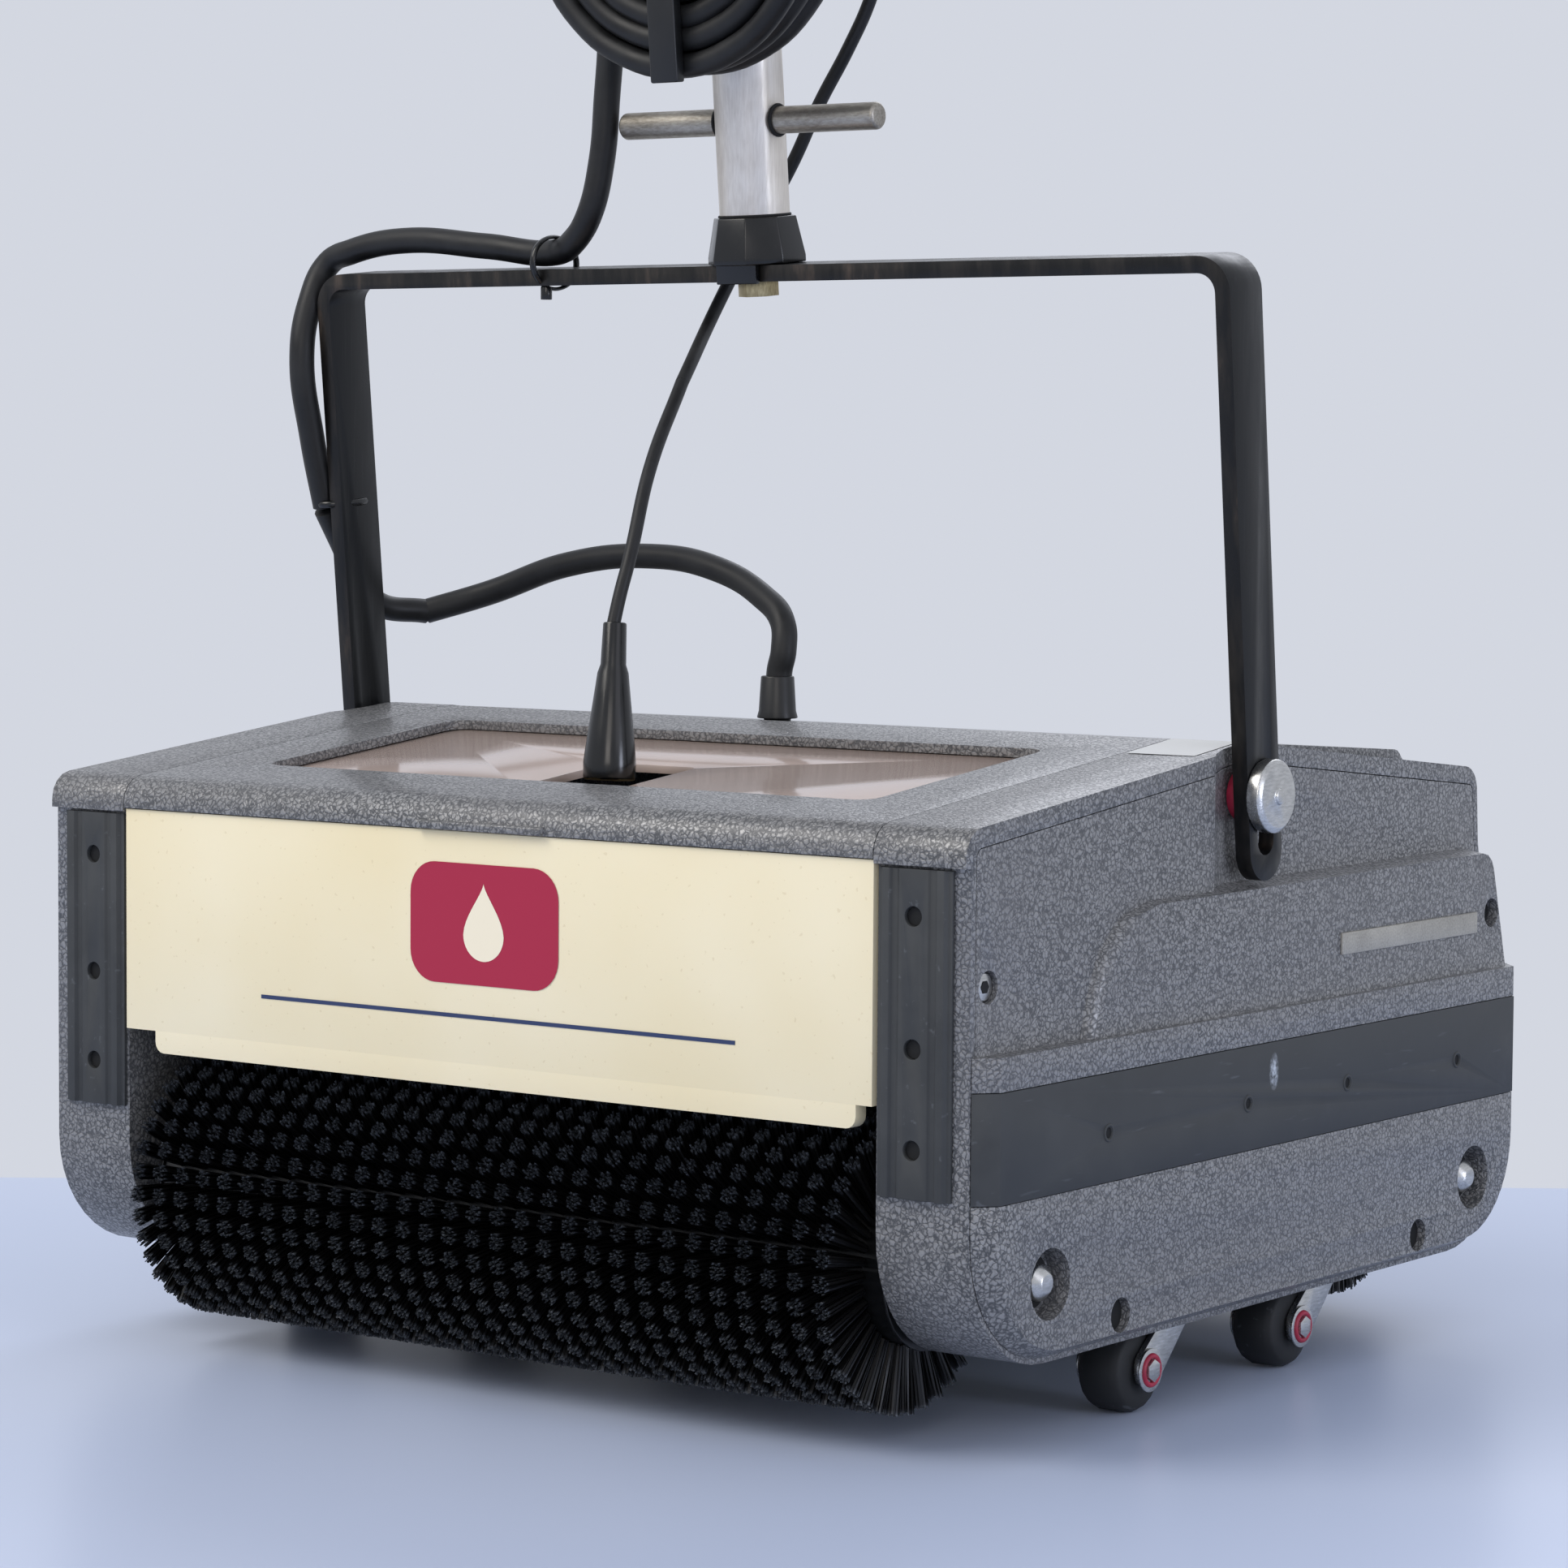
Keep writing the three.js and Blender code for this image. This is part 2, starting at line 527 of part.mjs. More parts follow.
add('drive_motor', 'castIron', cut(
  turned('x', [0, MOTOR_Y, MOTOR_Z], [
    [0, MOTOR_LEFT], [30, MOTOR_LEFT], [38, MOTOR_LEFT + 6], [38, MOTOR_LEFT + 22], [MOTOR_R, MOTOR_LEFT + 22],
    [MOTOR_R, MOTOR_RIGHT - 22], [38, MOTOR_RIGHT - 22], [38, MOTOR_RIGHT - 6], [30, MOTOR_RIGHT], [0, MOTOR_RIGHT],
  ], 32),
  rod('x', [0, MOTOR_Y, MOTOR_Z], SHAFT_R + RUNNING, MOTOR_LEFT - 1, MOTOR_LEFT + 25, 20),
));

const pulleyEnds = [BELT_X - BELT_WIDTH / 2 - 1, BELT_X + BELT_WIDTH / 2 + 1];
add('motor_pulley', 'steel', turned('x', [0, MOTOR_Y, MOTOR_Z], [
  [0, pulleyEnds[0]], [MOTOR_PULLEY_R, pulleyEnds[0]], [MOTOR_PULLEY_R, pulleyEnds[1]],
  [SHAFT_R, pulleyEnds[1]], [SHAFT_R, MOTOR_LEFT + 24], [0, MOTOR_LEFT + 24],
]));
add('idler_pulley', 'steel', turned('x', [0, IDLER_Y, IDLER_Z], [
  [0, pulleyEnds[0]], [IDLER_R, pulleyEnds[0]], [IDLER_R, pulleyEnds[1]],
  [3, pulleyEnds[1]], [3, -CHEEK_INNER - 0.5], [0, -CHEEK_INNER - 0.5],
], 24));

// The belt's middle line runs round each pulley; one on the outside of the loop has side -1.
function beltLoop(pulleys) {
  const middle = GAP + BELT_THICK / 2;
  const wheels = pulleys.map(([y, z, r, side]) => ({ c: new THREE.Vector2(y, z), r: r + middle, side }));
  const runs = wheels.map((a, i) => {
    const b = wheels[(i + 1) % wheels.length];
    const d = b.c.clone().sub(a.c);
    const tilt = Math.asin((b.side * b.r - a.side * a.r) / d.length());
    const normal = new THREE.Vector2(-d.y, d.x).normalize().rotateAround(new THREE.Vector2(), tilt);
    return { from: normal.clone().multiplyScalar(a.side), to: normal.clone().multiplyScalar(b.side) };
  });
  return wheels.flatMap((wheel, i) => {
    const enter = runs.at(i - 1).to.angle();
    const leave = runs[i].from.angle();
    const sweep = THREE.MathUtils.euclideanModulo(-wheel.side * (leave - enter), 2 * Math.PI);
    const steps = Math.max(1, Math.ceil(sweep / ARC_STEP));
    return Array.from({ length: steps + 1 }, (_, k) => {
      const angle = enter - (wheel.side * sweep * k) / steps;
      const out = new THREE.Vector2(Math.cos(angle), Math.sin(angle));
      const edge = (side) => wheel.c.clone().addScaledVector(out, wheel.r + (side * wheel.side * BELT_THICK) / 2);
      return { outer: edge(1), inner: edge(-1) };
    });
  });
}
const belt = beltLoop([
  [-AXLE_Y, AXLE_Z, BRUSH_PULLEY_R, 1], [MOTOR_Y, MOTOR_Z, MOTOR_PULLEY_R, 1],
  [IDLER_Y, IDLER_Z, IDLER_R, 1], [AXLE_Y, AXLE_Z, BRUSH_PULLEY_R, -1],
]);
add('drive_belt', 'rubber', prismX(
  belt.map((p) => p.outer), BELT_X - BELT_WIDTH / 2, BELT_X + BELT_WIDTH / 2, [belt.map((p) => p.inner)],
));

// ---- Brushes ------------------------------------------------------------------------------
const bristleInner = CORE_R + GAP + 0.1;
for (const [place, y] of Object.entries(axleYs)) {
  add(`${place}_brush_core`, 'blackPlastic', cut(
    turned('x', [0, y, AXLE_Z], [
      [0, pulleyEnds[0]], [BRUSH_PULLEY_R, pulleyEnds[0]], [BRUSH_PULLEY_R, pulleyEnds[1]], [HUB_R, pulleyEnds[1]],
      [HUB_R, -CORE_HALF], [CORE_R + 1.6, -CORE_HALF], [CORE_R + 1.6, GAP - BRISTLE_HALF - 4],
      [CORE_R, GAP - BRISTLE_HALF - 4], [CORE_R, BRISTLE_HALF + 4 - GAP], [CORE_R + 1.6, BRISTLE_HALF + 4 - GAP],
      [CORE_R + 1.6, CORE_HALF], [0, CORE_HALF],
    ], 28),
    rod('x', [0, y, AXLE_Z], AXLE_R + RUNNING, -REACH, REACH, 16),
  ));
  add(`${place}_bristles`, 'bristle', ring('x', [0, y, AXLE_Z], bristleInner, BRISTLE_R, -BRISTLE_HALF, BRISTLE_HALF, 48));
  const domeEnd = LEDGE_OUTER - 1;
  add(`${place}_axle`, 'steel', turned('x', [0, y, AXLE_Z], [
    [0, -domeEnd], [3.4, -domeEnd], [6.2, 2.6 - domeEnd], [6.2, -CHEEK_OUTER + 0.4], [AXLE_R, -CHEEK_OUTER + 0.4],
    [AXLE_R, CHEEK_OUTER - 0.4], [6.2, CHEEK_OUTER - 0.4], [6.2, domeEnd - 2.6], [3.4, domeEnd], [0, domeEnd],
  ], 20));
}

// ---- Water recovery -----------------------------------------------------------------------
add('transfer_drum', 'steel', turned('x', [0, 0, DRUM_Z], [
  [0, -INNER_HALF + 0.5], [4, -INNER_HALF + 0.5], [4, 2 - TRAY_HALF + 4], [DRUM_R, 6 - TRAY_HALF],
  [DRUM_R, TRAY_HALF - 6], [4, TRAY_HALF - 6], [4, INNER_HALF - 0.5], [0, INNER_HALF - 0.5],
], 28));
const TRAY_LOW = 32;
const TRAY_HIGH = 64;
const TRAY_CLEAR = 17.5; // from the tray's ends to the brush shields
const TRAY_DEEP = shieldInnerY - TRAY_CLEAR;
add('recovery_tray', 'cream', cut(
  box(-TRAY_HALF, TRAY_HALF, -TRAY_DEEP, TRAY_DEEP, TRAY_LOW, TRAY_HIGH),
  box(3 - TRAY_HALF, TRAY_HALF - 3, 3 - TRAY_DEEP, TRAY_DEEP - 3, TRAY_LOW + 3, TRAY_HIGH + 5),
));
add('drum_scraper', 'rubber', prismX(
  [[DRUM_R + 1, DRUM_Z - 1], [DRUM_R + 32, DRUM_Z + 13], [DRUM_R + 31, DRUM_Z + 16], [DRUM_R + 0.8, DRUM_Z + 2]]
    .map((p) => new THREE.Vector2(...p)),
  10 - TRAY_HALF, TRAY_HALF - 10,
));

// ---- Castors ------------------------------------------------------------------------------
function castorFork() {
  const legIn = WHEEL_WIDTH / 2 + 0.6;
  const legOut = legIn + 2;
  const axleZ = WHEEL_R;
  const side = outline([
    [9.6, CROWN_Z + 1.5, 0], [-5, CROWN_Z + 1.5, 1], [-TRAIL - 6, axleZ + 4, 5], [-TRAIL - 6, axleZ - 6, 5.5],
    [-TRAIL + 6, axleZ - 6, 5.5], [9.6, CROWN_Z - 2, 1],
  ]);
  return join(
    rod('z', [0, 0, 0], 11, CROWN_Z, CROWN_Z + 3.2, 20),
    box(0.3 - legOut, legOut - 0.3, -8, 10, CROWN_Z + 0.1, CROWN_Z + 2.6),
    rod('z', [0, 0, 0], 3.5, CROWN_Z + 1, CROWN_Z + 9, 12),
    prismX(side, -legOut, -legIn),
    prismX(side, legIn, legOut),
    rod('x', [0, -TRAIL, axleZ], 3, -legOut - 2, legOut + 2, 8),
    rod('x', [0, -TRAIL, axleZ], 5.5, legOut - 0.5, legOut + 1, 12),
    rod('x', [0, -TRAIL, axleZ], 5.5, -legOut - 1, 0.5 - legOut, 12),
    rod('x', [0, -TRAIL, axleZ], 4, legOut, legOut + 2.8, 6),
    rod('x', [0, -TRAIL, axleZ], 4, -legOut - 2.8, -legOut, 6),
  );
}
function castorWheel() {
  const half = WHEEL_WIDTH / 2;
  const bore = 3 + RUNNING;
  return turned('x', [0, -TRAIL, WHEEL_R], [
    [bore, -half], [WHEEL_R - 5, -half], [WHEEL_R - 1.5, 1 - half], [WHEEL_R, 4 - half], [WHEEL_R, half - 4],
    [WHEEL_R - 1.5, half - 1], [WHEEL_R - 5, half], [bore, half],
  ], 20);
}
const fork = castorFork();
const wheel = castorWheel();
for (const [place, y] of Object.entries(castorYs)) {
  for (const [side, x] of Object.entries({ left: -CASTOR_X, right: CASTOR_X })) {
    add(`${place}_${side}_fork`, 'steel', moved(fork, x, y, 0));
    add(`${place}_${side}_wheel`, 'rubber', moved(wheel, x, y, 0));
  }
}

// ---- Tank, lid and rear cover -------------------------------------------------------------
const TANK_HALF = CHEEK_INNER - 0.6;
const tankFront = FRONT_Y - 2;
const SKIRT = { left: -152, right: 160, low: 110, back: FRONT_Y + 4 };
add('clean_water_tank', 'cream', cut(
  join(
    box(-TANK_HALF, TANK_HALF, tankFront, TANK_REAR, TANK_LOW, TANK_TOP),
    prismY(outline([
      [SKIRT.left, SKIRT.low, 4], [SKIRT.right, SKIRT.low, 4], [SKIRT.right, TANK_LOW + 4, 0],
      [SKIRT.left, TANK_LOW + 4, 0],
    ]), tankFront, SKIRT.back),
  ),
  box(3 - TANK_HALF, TANK_HALF - 3, tankFront + 3, TANK_REAR - 3, TANK_LOW + 3, TANK_TOP + 5),
  rod('z', [VALVE_X, VALVE_Y, 0], 5.5, 0, TANK_LOW + 10, 20),
));

const slopeAngle = Math.atan(FRONT_SLOPE);
const alongSlope = (y) => (y - RIDGE_Y) / Math.cos(slopeAngle);
// A prism square to the lid's slope: above and below are measured from its surface.
function onSlope(points, below, above) {
  return moved(prismZ(points, below, above).rotate([THREE.MathUtils.radToDeg(slopeAngle), 0, 0]), 0, RIDGE_Y, RIDGE_Z);
}
const windowOutline = (grow, radius) => rectangle(
  -WINDOW_HALF - grow, WINDOW_HALF + grow, alongSlope(WINDOW_FRONT) - grow, alongSlope(WINDOW_REAR) + grow, radius,
);
const LID_HALF = CHEEK_INNER - 0.4;
const KNUCKLE_R = 2.7;
const HINGE_PIN_R = 1.5;
const rearKnuckles = [-60, 60];
const lidKnuckles = [-120, 120];
const KNUCKLE_HALF = 9;
function lidFrame() {
  const front = FRONT_Y - LIP;
  const skin = outline([
    [front, LIP_Z + 1.4, 0], [front, topZ(front), EDGE_RADIUS], [LID_REAR, topZ(LID_REAR), 0.8],
    [LID_REAR, topZ(LID_REAR) - LID_SKIN, 0], [front + LID_SKIN, topZ(front + LID_SKIN) - LID_SKIN, EDGE_RADIUS - LID_SKIN],
    [front + LID_SKIN, LIP_Z + 1.4, 0],
  ]);
  const flange = outline([
    [front + 6, topZ(front + 6) - 9.5, 0], [TANK_REAR - 4, topZ(TANK_REAR - 4) - 9.5, 0],
    [TANK_REAR - 4, topZ(TANK_REAR - 4) - 1, 0], [front + 6, topZ(front + 6) - 1.5, 0],
  ]);
  const knuckles = lidKnuckles.map((x) => join(
    rod('x', [0, HINGE_Y, HINGE_Z], KNUCKLE_R, x - KNUCKLE_HALF, x + KNUCKLE_HALF, 20),
    box(x + 0.3 - KNUCKLE_HALF, x - 0.3 + KNUCKLE_HALF, HINGE_Y - KNUCKLE_R + 0.3, HINGE_Y - 0.2, HINGE_Z + 0.2, topZ(HINGE_Y) - 2),
  ));
  const grip = prismX(outline([
    [front - 1.8, LIP_Z + 1.4, 0.6], [front + 1, LIP_Z + 1.4, 0], [front + 1, LIP_Z + 4.6, 0], [front - 1.8, LIP_Z + 4.2, 0.8],
  ]), -26, 30);
  const notches = rearKnuckles.map((x) => (
    box(x - KNUCKLE_HALF - 1, x + KNUCKLE_HALF + 1, HINGE_Y - KNUCKLE_R - 1.2, 5, 0, HINGE_Z + KNUCKLE_R + 0.5)
  ));
  return cut(
    join(
      prismX(skin, -LID_HALF, LID_HALF), prismX(flange, -LID_HALF, 2.5 - LID_HALF),
      prismX(flange, LID_HALF - 2.5, LID_HALF), ...knuckles, grip,
    ),
    onSlope(windowOutline(0, 7), -20, 20),
    rod('x', [0, HINGE_Y, HINGE_Z], HINGE_PIN_R + RUNNING, -150, 150, 16),
    ...notches,
  );
}
add('lid_frame', 'hammered', lidFrame());
const paneTop = -LID_SKIN - 0.4;
add('window_pane', 'window', onSlope(windowOutline(6, 9), paneTop - 3, paneTop).subtract(onSlope(
  rectangle(CUTOUT.left, CUTOUT.right, alongSlope(CUTOUT.front), alongSlope(CUTOUT.rear), 3), -20, 20,
)));
add('lid_hinge_rod', 'steel', rod('x', [0, HINGE_Y, HINGE_Z], HINGE_PIN_R, -136, 136, 16));

const GLAND_X = -28;
const GLAND_Y = 25;
function rearCover() {
  const roof = { y: REAR_TOP_Y - 7, z: 218 };
  const frontZ = topZ(COVER_FRONT) - 0.2;
  const inset = LID_SKIN;
  const skin = outline([
    [COVER_FRONT, frontZ, 0.8], [COVER_FRONT, frontZ - 22, 0], [COVER_FRONT + inset, frontZ - 22, 0],
    [COVER_FRONT + inset, frontZ - inset, 0], [roof.y - 2, roof.z - inset, 3], [REAR_TOP_Y + 1 - inset, roof.z - 10, 6],
    [REAR_TOP_Y + 2 - inset, SHOULDER_Z, 16], [REAR_Y - inset, WAIST_Z, 5], [REAR_Y - inset, 113, 0],
    [REAR_Y, 113, 0], [REAR_Y, WAIST_Z, 8], [REAR_TOP_Y + 2, SHOULDER_Z, 20], [REAR_TOP_Y + 1, roof.z - 8, 8],
    [roof.y, roof.z, 6],
  ]);
  const knuckles = rearKnuckles.map((x) => join(
    rod('x', [0, HINGE_Y, HINGE_Z], KNUCKLE_R, x - KNUCKLE_HALF, x + KNUCKLE_HALF, 20),
    box(x + 0.3 - KNUCKLE_HALF, x - 0.3 + KNUCKLE_HALF, HINGE_Y + 0.2, COVER_FRONT + 1, HINGE_Z - 2.3, HINGE_Z - 0.2),
  ));
  const louvres = [-70, 70].flatMap((x) => [0, 1, 2, 3, 4].map((k) => (
    box(x - 45, x + 45, REAR_TOP_Y - 10, REAR_Y + 5, 146 + 7 * k, 149 + 7 * k)
  )));
  return cut(
    join(prismX(skin, -INNER_HALF, INNER_HALF), ...knuckles),
    rod('z', [GLAND_X, GLAND_Y, 0], 6.2, 200, 250, 20),
    rod('x', [0, HINGE_Y, HINGE_Z], HINGE_PIN_R + GAP, -REACH, REACH, 16),
    ...louvres,
  );
}
add('rear_cover', 'hammered', rearCover());

add('lead_gland', 'cableBlack', turned('z', [GLAND_X + 0.5, GLAND_Y + 0.3, 0], [
  [0, 219], [5.2, 219], [5.2, 228.2], [8, 228.2], [7.2, 231], [6.4, 244.4], [0, 244.4],
], 24));

// ---- Dosing valve and its cable -----------------------------------------------------------
const VALVE_CLEAR = 3.1; // from the valve's spout to the bristles below it
const spoutAside = AXLE_Y + VALVE_Y;
const spoutZ = AXLE_Z + Math.sqrt(Math.max(0, (BRISTLE_R + VALVE_CLEAR) ** 2 - spoutAside ** 2));
add('dosing_valve', 'blackPlastic', turned('z', [VALVE_X, VALVE_Y, 0], [
  [0, spoutZ], [3, spoutZ], [5.2, spoutZ + 4], [5.2, TANK_LOW + 3.3], [9, TANK_LOW + 3.3], [9, 150], [4, 156], [4, 212], [0, 212],
], 24));
const BOOT_LONG = 57;
const bootLean = new THREE.Euler(THREE.MathUtils.radToDeg(Math.atan2(6.4, BOOT_LONG)) * -1, -2.6, 0);
add('cable_boot', 'blackPlastic', moved(
  turned('z', [0, 0, 0], [
    [0, 0], [9.3, 0], [9.5, 6], [8.6, 14], [5.6, 38], [4.6, 41], [4.2, BOOT_LONG - 1], [0, BOOT_LONG - 1],
  ], 24).rotate([bootLean.x, bootLean.y, 0]),
  VALVE_X, VALVE_Y, 213.4,
));
add('dosing_cable', 'cableBlack', cable(BOWDEN_ROUTE, BOWDEN_R, 40, 6));
add('motor_lead', 'cableBlack', cable(MOTOR_LEAD_ROUTE, LEAD_R, 26, 8));

// ---- Bail pivots --------------------------------------------------------------------------
const bailInner = BAIL_OUTER - BAIL_THICK;
const boltHead = turned('x', [0, PIVOT_Y, PIVOT_Z], [
  [0, CHEEK_INNER + PLATE + 0.5], [BOLT_R, CHEEK_INNER + PLATE + 0.5], [BOLT_R, BAIL_OUTER + GAP],
  [DISC_R, BAIL_OUTER + GAP], [DISC_R, BAIL_OUTER + DISC_THICK - 1.2], [DISC_R - 1.8, BAIL_OUTER + DISC_THICK],
  [3, BAIL_OUTER + DISC_THICK], [2.6, BAIL_OUTER + DISC_THICK + 1], [0, BAIL_OUTER + DISC_THICK + 1],
], 32);
const bush = turned('x', [0, PIVOT_Y, PIVOT_Z], [
  [BOLT_R + GAP, RECESS_OUTER + 0.4], [9, RECESS_OUTER + 0.4], [9, bailInner - 0.4],
  [SLOT_R - GAP, bailInner - 0.4], [SLOT_R - GAP, BAIL_OUTER], [BOLT_R + GAP, BAIL_OUTER],
], 28);
add('right_pivot_bolt', 'steel', boltHead);
add('left_pivot_bolt', 'steel', mirrorX(boltHead));
add('right_bush', 'red', bush);
add('left_bush', 'red', mirrorX(bush));

// ---- Bail and handle, measured from the pivot along the leaning handle --------------------
function bailBar() {
  const bar = prismY([
    ...outline([
      [-BAIL_OUTER, -60, 0], [-BAIL_OUTER, BAIL_HIGH, BAIL_RADIUS], [BAIL_OUTER, BAIL_HIGH, BAIL_RADIUS],
      [BAIL_OUTER, -60, 0], [bailInner, -60, 0], [bailInner, BAIL_HIGH - BAIL_THICK, BAIL_RADIUS - BAIL_THICK],
      [-bailInner, BAIL_HIGH - BAIL_THICK, BAIL_RADIUS - BAIL_THICK], [-bailInner, -60, 0],
    ], FINE_STEP),
  ], -BAIL_WIDE / 2, BAIL_WIDE / 2);
  const round = BAIL_WIDE / 2 - 0.01;
  const legs = prismX(outline([
    [-BAIL_WIDE / 2, -LEG_END, round], [BAIL_WIDE / 2, -LEG_END, round], [BAIL_WIDE / 2, REACH, 0],
    [-BAIL_WIDE / 2, REACH, 0],
  ], FINE_STEP * 1.5), -REACH, REACH);
  const slots = prismX(outline([
    [-SLOT_R, -SLOT_DROP - SLOT_R, SLOT_R - 0.01], [SLOT_R, -SLOT_DROP - SLOT_R, SLOT_R - 0.01],
    [SLOT_R, SLOT_R, SLOT_R - 0.01], [-SLOT_R, SLOT_R, SLOT_R - 0.01],
  ]), -REACH, REACH);
  return cut(bar.intersect(legs), slots, rod('z', [0, 0, 0], 4.3, 150, 250, 20));
}
add('bail', 'blackPaint', bailBar(), handle);

function collar() {
  const foot = BAIL_HIGH + GAP;
  const turn = Math.PI / 8;
  const cone = turned('z', [0, 0, 0], [[0, foot], [18.6, foot], [18.6, foot + 2.5], [15.6, foot + 17], [0, foot + 17]], 8)
    .rotate([0, 0, THREE.MathUtils.radToDeg(turn)]);
  const tabs = [-1, 1].map((side) => {
    const [near, far] = [BAIL_WIDE / 2 + GAP, BAIL_WIDE / 2 + 3].map((v) => side * v);
    return box(-9, 9, Math.min(near, far), Math.max(near, far), foot - 7, foot + 3);
  });
  return cut(join(cone, ...tabs), rod('z', [0, 0, 0], TUBE_R + GAP, foot - 20, REACH));
}
add('handle_collar', 'blackPlastic', collar(), handle);
const nutTop = BAIL_HIGH - BAIL_THICK - GAP;
add('collar_bolt', 'steel', join(
  rod('z', [0, 0, 0], 7.5, nutTop - 5.5, nutTop, 6),
  rod('z', [0, 0, 0], 4, nutTop - 1, BAIL_HIGH + 12, 20),
), handle);

const tubeFoot = BAIL_HIGH + GAP + 0.3;
add('handle_tube', 'aluminium', cut(
  rod('z', [0, 0, 0], TUBE_R, tubeFoot, TUBE_TOP, 32),
  rod('z', [0, 0, 0], TUBE_R - TUBE_WALL, tubeFoot + 17, TUBE_TOP + 1, 32),
  rod('z', [0, 0, 0], 4.3, tubeFoot - 1, tubeFoot + 18, 20),
  rod('x', [0, 0, BAR_W], BAR_R + GAP, -REACH, REACH, 24),
  rod('y', [0, 0, HANK_LOW + HANK_R * 2 + HANK_RUN - 40], 4 + RUNNING, -40, 0, 20),
), handle);
add('cross_bar', 'steel', pin('x', [0, 0, BAR_W], BAR_R, -BAR_HALF, BAR_HALF, 1, 28), handle);

const hankBottomCentre = HANK_LOW + HANK_R;
const lowerHookW = hankBottomCentre - 25;
const hookLip = HANK_FRONT - 0.5;
add('lower_cable_hook', 'blackPlastic', join(
  ring('z', [0, 0, 0], TUBE_R + GAP, TUBE_R + 4, lowerHookW - 11, lowerHookW + 11),
  box(-HOOK_WIDE / 2, HOOK_WIDE / 2, hookLip - 1, -TUBE_R - 2, lowerHookW - 4, lowerHookW + 4),
  box(-HOOK_WIDE / 2, HOOK_WIDE / 2, hookLip - 5, hookLip, lowerHookW - 43, lowerHookW + 4),
), handle);
const upperHookW = HANK_LOW + 2 * HANK_R + HANK_RUN - 40;
add('upper_cable_hook', 'blackPlastic', join(
  rod('y', [0, 0, upperHookW], 4, hookLip - 1, -TUBE_R + TUBE_WALL + 1, 20),
  rod('y', [0, 0, upperHookW], 7, HANK_BACK + 1.6, -TUBE_R - 0.4, 24),
  box(-HOOK_WIDE / 2, HOOK_WIDE / 2, hookLip - 5, hookLip, upperHookW - 6, upperHookW + 43),
), handle);

const hankOutline = (radius) => outline([
  [-radius, hankBottomCentre - radius, radius - 0.01], [radius, hankBottomCentre - radius, radius - 0.01],
  [radius, hankBottomCentre + HANK_RUN + radius, radius - 0.01],
  [-radius, hankBottomCentre + HANK_RUN + radius, radius - 0.01],
]);
add('mains_hank', 'cableBlack', prismY(hankOutline(HANK_R), HANK_FRONT, HANK_BACK, [hankOutline(HANK_HOLE_R)]), handle);
add('mains_lead', 'cableBlack', cable(MAINS_ROUTE, MAINS_R, 12, 8), handle);
add('motor_lead_upper', 'cableBlack', cable(LEG_LEAD_ROUTE, LEAD_R, 38, 8), handle);
const PLUG_X = HANK_R + 21;
const PLUG_W = 440;
add('mains_plug', 'blackPlastic', join(
  turned('z', [PLUG_X, -30, 0], [[0, PLUG_W - 44], [18.5, PLUG_W - 44], [18.5, PLUG_W - 24], [15, PLUG_W - 10],
    [7, PLUG_W + 2], [6, PLUG_W + 34], [0, PLUG_W + 34]], 28),
  rod('z', [PLUG_X - 9.5, -30, 0], 2.4, PLUG_W - 63, PLUG_W - 43, 14),
  rod('z', [PLUG_X + 9.5, -30, 0], 2.4, PLUG_W - 63, PLUG_W - 43, 14),
), handle);

// ---- Control head -------------------------------------------------------------------------
const SWITCH = { x: 0, w: 905, half: 11, tall: 8, deep: 7 };
const headFace = 30;
const LEVER_X = 52;
const LEVER_W = 886;
function controlHead() {
  const shell = prismX(outline([
    [-26, HEAD_LOW, 7], [headFace, HEAD_LOW, 7], [headFace, HEAD_HIGH - 20, 8], [18, HEAD_HIGH, 10], [-26, HEAD_HIGH, 12],
  ]), -44, 44);
  const grips = [-1, 1].map((side) => {
    const [from, to] = side > 0 ? [40, GRIP_END] : [-GRIP_END, -40];
    return pin('x', [0, 0, GRIP_W], GRIP_R, from, to, 5, 28);
  });
  const leverEar = box(40, LEVER_X + 6, -7, 7, LEVER_W - 7, LEVER_W + 20);
  return cut(
    join(shell, ...grips, leverEar),
    rod('z', [0, 0, 0], TUBE_R + GAP, 0, TUBE_TOP + 0.5, 36),
    box(-SWITCH.half - 0.5, SWITCH.half + 0.5, headFace - SWITCH.deep, headFace + 5, SWITCH.w - SWITCH.tall - 3, SWITCH.w + SWITCH.tall + 3),
    box(LEVER_X - 9, LEVER_X + 20, -3.4, 3.4, LEVER_W - 20, LEVER_W + 9),
    rod('y', [LEVER_X, 0, LEVER_W], 2.4, -10, 10, 14),
  );
}
add('control_head', 'blackPlastic', controlHead(), handle);
add('power_switch', 'red', join(
  prismX(outline([
    [headFace - SWITCH.deep + 3.2, SWITCH.w - SWITCH.tall, 1], [headFace + 3, SWITCH.w - SWITCH.tall, 1],
    [headFace + 0.5, SWITCH.w, 0], [headFace + 1.5, SWITCH.w + SWITCH.tall, 1],
    [headFace - SWITCH.deep + 3.2, SWITCH.w + SWITCH.tall, 1],
  ]), -SWITCH.half, SWITCH.half),
), handle);
add('dosing_lever', 'blackPlastic', join(
  rod('y', [LEVER_X, 0, LEVER_W], 2, -6.4, 6.4, 14),
  prismY(outline([
    [LEVER_X - 6, LEVER_W - 5, 3], [LEVER_X + 40, LEVER_W - 6, 0], [LEVER_X + 96, LEVER_W - 6, 3],
    [LEVER_X + 96, LEVER_W - 1, 2], [LEVER_X + 30, LEVER_W - 1, 0], [LEVER_X, LEVER_W + 6, 3], [LEVER_X - 6, LEVER_W + 6, 3],
  ]), -2.9, 2.9),
  prismY(outline([
    [LEVER_X + 24, LEVER_W - 6, 1], [LEVER_X + 96, LEVER_W - 6, 3], [LEVER_X + 96, LEVER_W - 2, 1], [LEVER_X + 24, LEVER_W - 2, 1],
  ]), -9, 9),
), handle);

export default machine;
